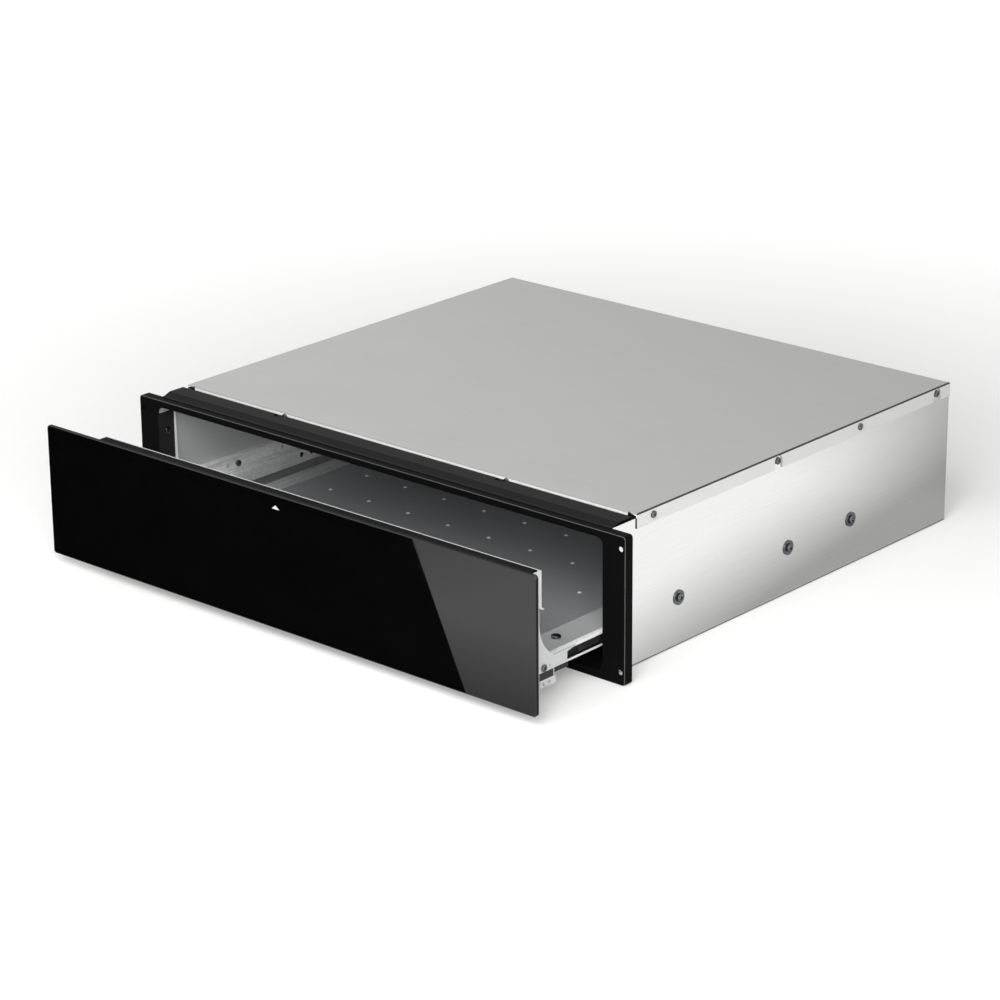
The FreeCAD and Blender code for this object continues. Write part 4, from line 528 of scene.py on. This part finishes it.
def screwMeasures(points):
    # seat, direction out of the head, head radius and height, shank radius and length
    low, high = points.min(0), points.max(0)
    middle = (low + high) / 2
    spread = [abs(points[:, k].mean() - middle[k]) / (high[k] - low[k]) for k in range(3)]
    axis = int(np.argmax(spread))     # only along its axis is a screw uneven
    across = [k for k in range(3) if k != axis]
    away = np.hypot(points[:, across[0]] - middle[across[0]], points[:, across[1]] - middle[across[1]])
    wide = away.max()
    rim = points[away > wide * screwReading["rim"]][:, axis]
    sign = 1 if rim.mean() > middle[axis] else -1
    outer = high[axis] if sign > 0 else low[axis]
    inner = low[axis] if sign > 0 else high[axis]
    seat = rim.min() if sign > 0 else rim.max()
    shank = away[np.abs(points[:, axis] - inner) < screwReading["touch"]].max()
    centre = middle.copy()
    centre[axis] = seat
    out = np.zeros(3)
    out[axis] = sign
    return Vector(centre), Vector(out), wide, abs(outer - seat), shank, abs(seat - inner)


def headBody(name, headRadius, headHeight, shankRadius, shankLength):
    # pan head and shank, turned from their profile
    bm = bmesh.new()
    footReach, footRise = screwShape["foot"]
    domeFoot = headHeight * (1 - screwShape["dome"]) * screwShape["domeStart"]
    profile = [(0.0, -shankLength), (shankRadius, -shankLength), (shankRadius, 0.0),
               (headRadius * footReach, 0.0), (headRadius, headHeight * footRise), (headRadius, domeFoot)]
    for step in range(1, screwShape["domeSteps"] + 1):
        angle = math.pi / 2 * step / screwShape["domeSteps"]
        profile.append((headRadius * math.cos(angle) ** screwShape["domeFullness"],
                        domeFoot + (headHeight - domeFoot) * math.sin(angle)))
    profile[-1] = (0.0, headHeight)
    verts = [bm.verts.new((r, 0, z)) for r, z in profile]
    edges = [bm.edges.new(pair) for pair in zip(verts, verts[1:])]
    bmesh.ops.spin(bm, geom=verts + edges, cent=(0, 0, 0), axis=(0, 0, 1), angle=2 * math.pi,
                   steps=screwShape["segments"])
    bmesh.ops.remove_doubles(bm, verts=bm.verts, dist=screwShape["weld"])
    bmesh.ops.recalc_face_normals(bm, faces=bm.faces)
    return meshObject(name, bm, smooth=True)


def crossCutter(name, headRadius, headHeight):
    # the driver's cross, tapering into the head
    cutter = bmesh.new()
    reach = headRadius * screwShape["recessReach"]
    width = headRadius * screwShape["recessWidth"]
    outline = [(reach, -width), (reach, width), (width, width), (width, reach), (-width, reach),
               (-width, width), (-reach, width), (-reach, -width), (-width, -width), (-width, -reach),
               (width, -reach), (width, -width)]
    mouth, narrow = screwShape["recessMouth"], screwShape["recessFloor"]
    top = [cutter.verts.new((x * mouth, y * mouth, headHeight * screwShape["cutterTop"])) for x, y in outline]
    floor = [cutter.verts.new((x * narrow, y * narrow, headHeight * (1 - screwShape["recessDepth"])))
             for x, y in outline]
    cutter.faces.new(top)
    cutter.faces.new(floor[::-1])
    for i in range(len(outline)):
        j = (i + 1) % len(outline)
        cutter.faces.new((top[i], floor[i], floor[j], top[j]))
    bmesh.ops.recalc_face_normals(cutter, faces=cutter.faces)
    return meshObject(name, cutter)


def crossScrewMesh(name, headRadius, headHeight, shankRadius, shankLength):
    # one screw with its cross cut out, as a plain mesh
    screw = headBody(name, headRadius, headHeight, shankRadius, shankLength)
    cross = crossCutter(name + "_cross", headRadius, headHeight)
    cut = screw.modifiers.new("cross", "BOOLEAN")
    cut.operation = "DIFFERENCE"
    cut.solver = "EXACT"
    cut.object = cross
    evaluated = screw.evaluated_get(bpy.context.evaluated_depsgraph_get())
    made = bpy.data.meshes.new_from_object(evaluated)
    bpy.data.objects.remove(screw)
    bpy.data.objects.remove(cross)
    return made


def rebuildScrews(node, turn):
    # one object per CAD node, holding all its screws, each turned a little differently
    bm = bmesh.new()
    masters = {}
    for index, points in enumerate(looseParts(node)):
        seat, out, headRadius, headHeight, shankRadius, shankLength = screwMeasures(points)
        key = (round(headRadius, 5), round(headHeight, 5), round(shankLength, 5))
        if key not in masters:
            masters[key] = crossScrewMesh(node + "_master", headRadius, headHeight, shankRadius, shankLength)
        piece = masters[key].copy()
        spin = Matrix.Rotation(math.radians(turn + screwShape["turnStep"] * index), 4, "Z")
        stand = out.to_track_quat("Z", "Y").to_matrix().to_4x4()
        piece.transform(Matrix.Translation(seat) @ stand @ spin)
        bm.from_mesh(piece)
        bpy.data.meshes.remove(piece)
    screws = meshObject(node + "_crossed", bm, smooth=True)
    screws.data.set_sharp_from_angle(angle=math.radians(screwShape["sharpAngle"]))
    screws.data.materials.append(screwSteel)
    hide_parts(node)
    return screws


# Body each node rides on, and the first screw's turn in degrees
screwNodes = {
    "cover_screws": ("housing", 12.0), "frame_screws": ("housing", 40.0), "slide_screws": ("housing", 25.0),
    "bracket_screws": ("drawer", 10.0), "drawer_front_screws": ("drawer", 55.0),
    "tray_screws": ("drawer", 30.0),
}
for node, (body, turn) in screwNodes.items():
    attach(rebuildScrews(node, turn), body)
print("screws done")


# Narrow folds that stiffen the side panels' front ends, seen just behind the frame's tabs

foldShape = {"wall": 0.27345, "front": -0.2357, "thick": 0.0008, "low": 0.058, "high": 0.1262,
             "reachLow": 0.0048, "reachHigh": 0.0028, "rounding": 0.0002}


def frontFold(name, side):
    # side is 1 for the right panel and -1 for the left
    bm = bmesh.new()
    rows = []
    ends = ((foldShape["low"], foldShape["reachLow"]), (foldShape["high"], foldShape["reachHigh"]))
    for y in (foldShape["front"], foldShape["front"] + foldShape["thick"]):
        for z, reach in ends:
            inner = foldShape["wall"] - reach
            rows.append([bm.verts.new((side * x, y, z)) for x in (foldShape["wall"], inner)])
    bm.faces.new((rows[0][0], rows[0][1], rows[1][1], rows[1][0]))
    bm.faces.new((rows[2][0], rows[3][0], rows[3][1], rows[2][1]))
    for a, b in ((rows[0], rows[2]), (rows[1], rows[3])):
        bm.faces.new((a[0], a[1], b[1], b[0]))
    for k in (0, 1):
        bm.faces.new((rows[0][k], rows[1][k], rows[3][k], rows[2][k]))
    bmesh.ops.bevel(bm, geom=bm.edges[:], offset=foldShape["rounding"], segments=2, affect="EDGES")
    bmesh.ops.recalc_face_normals(bm, faces=bm.faces)
    fold = meshObject(name, bm)
    # painted highlight: the folds take the paler, lit tone of the cover's lip
    fold.data.materials.append(paintedHighlightSteel)
    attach(fold, "housing")


frontFold("front_fold_right", 1)
frontFold("front_fold_left", -1)
print("folds done")


# Mark on the glass: a plain triangle, screen printed

markShape = {"width": 0.0092, "height": 0.0036, "bottom": 0.1233, "side": -0.0011, "thick": 0.00004,
             "sunk": 0.00001}     # its middle lies this far behind the glass's face
inkLook = {"light": "#C9C9C9", "dark": "#BDBDBD", "grainMm": 0.3, "roughness": 0.5, "bump": 0.05, "ior": 1.5}


def printedMark():
    # a thin prism that stands a hundredth of a millimetre out of the glass
    bm = bmesh.new()
    face = glassLow.y + markShape["sunk"]
    half = markShape["width"] / 2
    middle = markShape["side"]
    points = [(middle - half, markShape["bottom"]), (middle + half, markShape["bottom"]),
              (middle, markShape["bottom"] + markShape["height"])]
    front = [bm.verts.new((x, face - markShape["thick"] / 2, z)) for x, z in points]
    rear = [bm.verts.new((x, face + markShape["thick"] / 2, z)) for x, z in points]
    bm.faces.new(front)
    bm.faces.new(rear[::-1])
    for i in range(3):
        j = (i + 1) % 3
        bm.faces.new((front[i], rear[i], rear[j], front[j]))
    bmesh.ops.recalc_face_normals(bm, faces=bm.faces)
    mark = meshObject("glass_mark", bm)
    mark.data.materials.append(moulded("screen_print_grey", inkLook))
    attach(mark, "drawer")


printedMark()
print("mark done")


# Stage: pale floor, soft light and the camera

stageLook = {
    "floorLight": "#E9E9E8", "floorDark": "#E4E4E3", "fibreMm": 6.0,
    "floorSize": 14.0, "floorGap": 0.0002,
    "liftNear": 0.16, "liftFar": 0.7, "near": 0.55, "far": 1.5,    # the paper fades to plain white far out
    "skyLight": 0.42,      # what the world gives to diffuse surfaces
    "aim": (0, -0.05, 0.07),
    "lamps": {
        "keyPanel": {"place": (1.4, -1.85, 1.05), "size": 1.3, "power": 46.0},
        "leftPanel": {"place": (-0.55, -2.1, 1.0), "size": 0.9, "power": 14.0},
        "topPanel": {"place": (0.45, -1.6, 2.0), "size": 1.3, "power": 26.0},
    },
}


def whiteRays(tree):
    # rays that show the plain white background: camera, glossy and transmission
    path = addNode(tree, "ShaderNodeLightPath").outputs
    either = addNode(tree, "ShaderNodeMath", {"operation": "MAXIMUM"},
                     {0: path["Is Camera Ray"], 1: path["Is Glossy Ray"]})
    return addNode(tree, "ShaderNodeMath", {"operation": "MAXIMUM"},
                   {0: either.outputs["Value"], 1: path["Is Transmission Ray"]}).outputs["Value"]


def makeFloor():
    # Matt paper with a faint fibre: plain, so that only the object's soft shadow shows on it.
    bm = bmesh.new()
    bmesh.ops.create_grid(bm, x_segments=1, y_segments=1, size=stageLook["floorSize"] / 2)
    floor = meshObject("studio_floor", bm)
    floor.location = (0, 0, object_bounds()[0].z - stageLook["floorGap"])
    material, tree, output, place = newFinish("studio_paper")
    fibre = noiseShare(tree, place, stageLook["fibreMm"], 2.0)
    colour = blend(tree, fibre, stageLook["floorDark"], stageLook["floorLight"])
    paper = addNode(tree, "ShaderNodeBsdfDiffuse", {}, {"Color": colour})
    away = addNode(tree, "ShaderNodeVectorMath", {"operation": "LENGTH"}, {0: place}).outputs["Value"]
    fade = mapShare(tree, away, stageLook["liftNear"], stageLook["liftFar"],
                    stageLook["near"], stageLook["far"])
    lift = addNode(tree, "ShaderNodeMath", {"operation": "MULTIPLY"}, {0: whiteRays(tree), 1: fade})
    glow = addNode(tree, "ShaderNodeEmission", {}, {"Strength": lift.outputs["Value"]})
    both = addNode(tree, "ShaderNodeAddShader", {}, {0: paper.outputs["BSDF"], 1: glow.outputs["Emission"]})
    tree.links.new(both.outputs["Shader"], output.inputs["Surface"])
    floor.data.materials.append(material)
    floor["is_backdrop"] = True


# Reflector cards of the studio: only reflections show them. Each has corner points, in metres and from its
# centre where it has one, and for two axes (0 to 2) a light that runs between two places, from one strength
# to another.
cardLook = {
    # pale floor that the glass front mirrors, with a painted shadow that dims it close to the glass; it also
    # dims towards the left
    "frontFloor": {"points": ((-0.7, -1.2, 0), (0.9, -1.2, 0), (0.9, -0.371, 0), (-0.7, -0.371, 0)),
                   "along": ((0, -0.25, 0.08, 0.5, 1.0), (1, -0.52, -0.37, 1.05, 0.42))},
    # black card that the glass mirrors left of a slanting line
    "blackFlag": {"points": ((0.2258, -0.371, 0.0001), (-1.0, -1.4127, 0.0001), (-1.9, -1.4127, 0.0001),
                             (-1.9, -0.371, 0.0001)),
                  "along": ((0, 0.0, 1.0, 0.0, 0.0), (1, 0.0, 1.0, 1.0, 1.0))},
    # floor that the right side panel mirrors, with a painted shadow: dark close to it and dimmer to the rear
    "sideFloor": {"points": ((0.276, -1.0, 0), (1.3, -1.0, 0), (1.3, 1.3, 0), (0.276, 1.3, 0)),
                  "centre": (0.42, 0.15, 0), "turn": -10.7,
                  "along": ((0, -0.103, 0.007, 0.38, 1.0), (1, 0.118, 0.427, 1.16, 0.64))},
    # bright face where the key lamp stands, for the highlights on the screws
    "lampFace": {"points": ((1.16, -2.03, 0.75), (1.64, -1.67, 0.75), (1.64, -1.67, 1.35),
                            (1.16, -2.03, 1.35)),
                 "along": ((0, 0.0, 1.0, 4.0, 4.0), (1, 0.0, 1.0, 1.0, 1.0))},
    # wall behind, which the cover and the plate mirror
    "rearWall": {"points": ((-2.4, 1.2, 0), (1.6, 1.2, 0), (1.6, 1.2, 1.9), (-2.4, 1.2, 1.9)),
                 "along": ((0, -1.6, 0.0, 1.0, 0.84), (2, 0.2, 1.1, 0.58, 1.12))},
}


def makeCard(name, card, lift):
    # a glowing card that nothing but reflections shows
    bm = bmesh.new()
    stand = Matrix.Translation(Vector(card.get("centre", (0, 0, 0))) + Vector((0, 0, lift)))
    stand = stand @ Matrix.Rotation(math.radians(card.get("turn", 0.0)), 4, "Z")
    bm.faces.new([bm.verts.new(stand.inverted() @ Vector((x, y, z + lift))) for x, y, z in card["points"]])
    obj = meshObject(name, bm)
    obj.matrix_world = stand
    material, tree, output, place = newFinish(name)
    split = addNode(tree, "ShaderNodeSeparateXYZ", {}, {"Vector": place}).outputs
    shares = [mapShare(tree, split[axis], low, high, start, end)
              for axis, start, end, low, high in card["along"]]
    light = addNode(tree, "ShaderNodeMath", {"operation": "MULTIPLY"}, {0: shares[0], 1: shares[1]})
    glow = addNode(tree, "ShaderNodeEmission", {}, {"Strength": light.outputs["Value"]})
    tree.links.new(glow.outputs["Emission"], output.inputs["Surface"])
    obj.data.materials.append(material)
    obj.visible_camera = obj.visible_diffuse = obj.visible_shadow = False
    obj.visible_transmission = obj.visible_volume_scatter = False
    obj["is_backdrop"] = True


def makeCards():
    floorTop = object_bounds()[0].z
    for name, card in cardLook.items():
        makeCard(name, card, floorTop)


def makeWorld():
    # white for what is seen and mirrored, dimmer for what lights the surfaces
    world = bpy.data.worlds.new("studio_light")
    scene.world = world
    world.use_nodes = True
    tree = world.node_tree
    tree.nodes.clear()
    output = addNode(tree, "ShaderNodeOutputWorld")
    share = mapShare(tree, whiteRays(tree), stageLook["skyLight"], 1.0)
    sky = addNode(tree, "ShaderNodeBackground", {"Color": linearColour("#FFFFFF")}, {"Strength": share})
    tree.links.new(sky.outputs["Background"], output.inputs["Surface"])


def makeLamps():
    # three soft panels that all look at one place
    target = Vector(stageLook["aim"])
    for name, lamp in stageLook["lamps"].items():
        data = bpy.data.lights.new(name, "AREA")
        data.shape = "SQUARE"
        data.size = lamp["size"]
        data.energy = lamp["power"]
        obj = bpy.data.objects.new(name, data)
        scene.collection.objects.link(obj)
        obj.visible_glossy = False      # metals and glass mirror the white surroundings and the cards only
        obj.location = lamp["place"]
        obj.rotation_mode = "QUATERNION"
        obj.rotation_quaternion = (target - obj.location).to_track_quat("-Z", "Y")


cameraView = {"lensMm": 122.97, "sensorMm": 36.0, "place": (1.9913, -2.3328, 1.1518),
              "yaw": 41.45, "pitch": 20.12, "roll": -0.48}


def makeCamera():
    # yaw turns it to the left from +Y, pitch looks down, roll tilts it about its own view
    yaw, pitch, roll = (math.radians(cameraView[k]) for k in ("yaw", "pitch", "roll"))
    ahead = Vector((-math.sin(yaw) * math.cos(pitch), math.cos(yaw) * math.cos(pitch), -math.sin(pitch)))
    right = Vector((math.cos(yaw), math.sin(yaw), 0))
    up = right.cross(ahead)
    turnedRight = right * math.cos(roll) + up * math.sin(roll)
    turnedUp = up * math.cos(roll) - right * math.sin(roll)
    turn = Matrix((turnedRight, turnedUp, -ahead)).transposed().to_4x4()
    data = bpy.data.cameras.new("photo_camera")
    data.sensor_width = cameraView["sensorMm"]
    data.lens = cameraView["lensMm"]
    camera = bpy.data.objects.new("photo_camera", data)
    scene.collection.objects.link(camera)
    camera.matrix_world = Matrix.Translation(Vector(cameraView["place"])) @ turn
    scene.camera = camera


makeFloor()
makeCards()
makeWorld()
makeLamps()
makeCamera()
print("stage done")
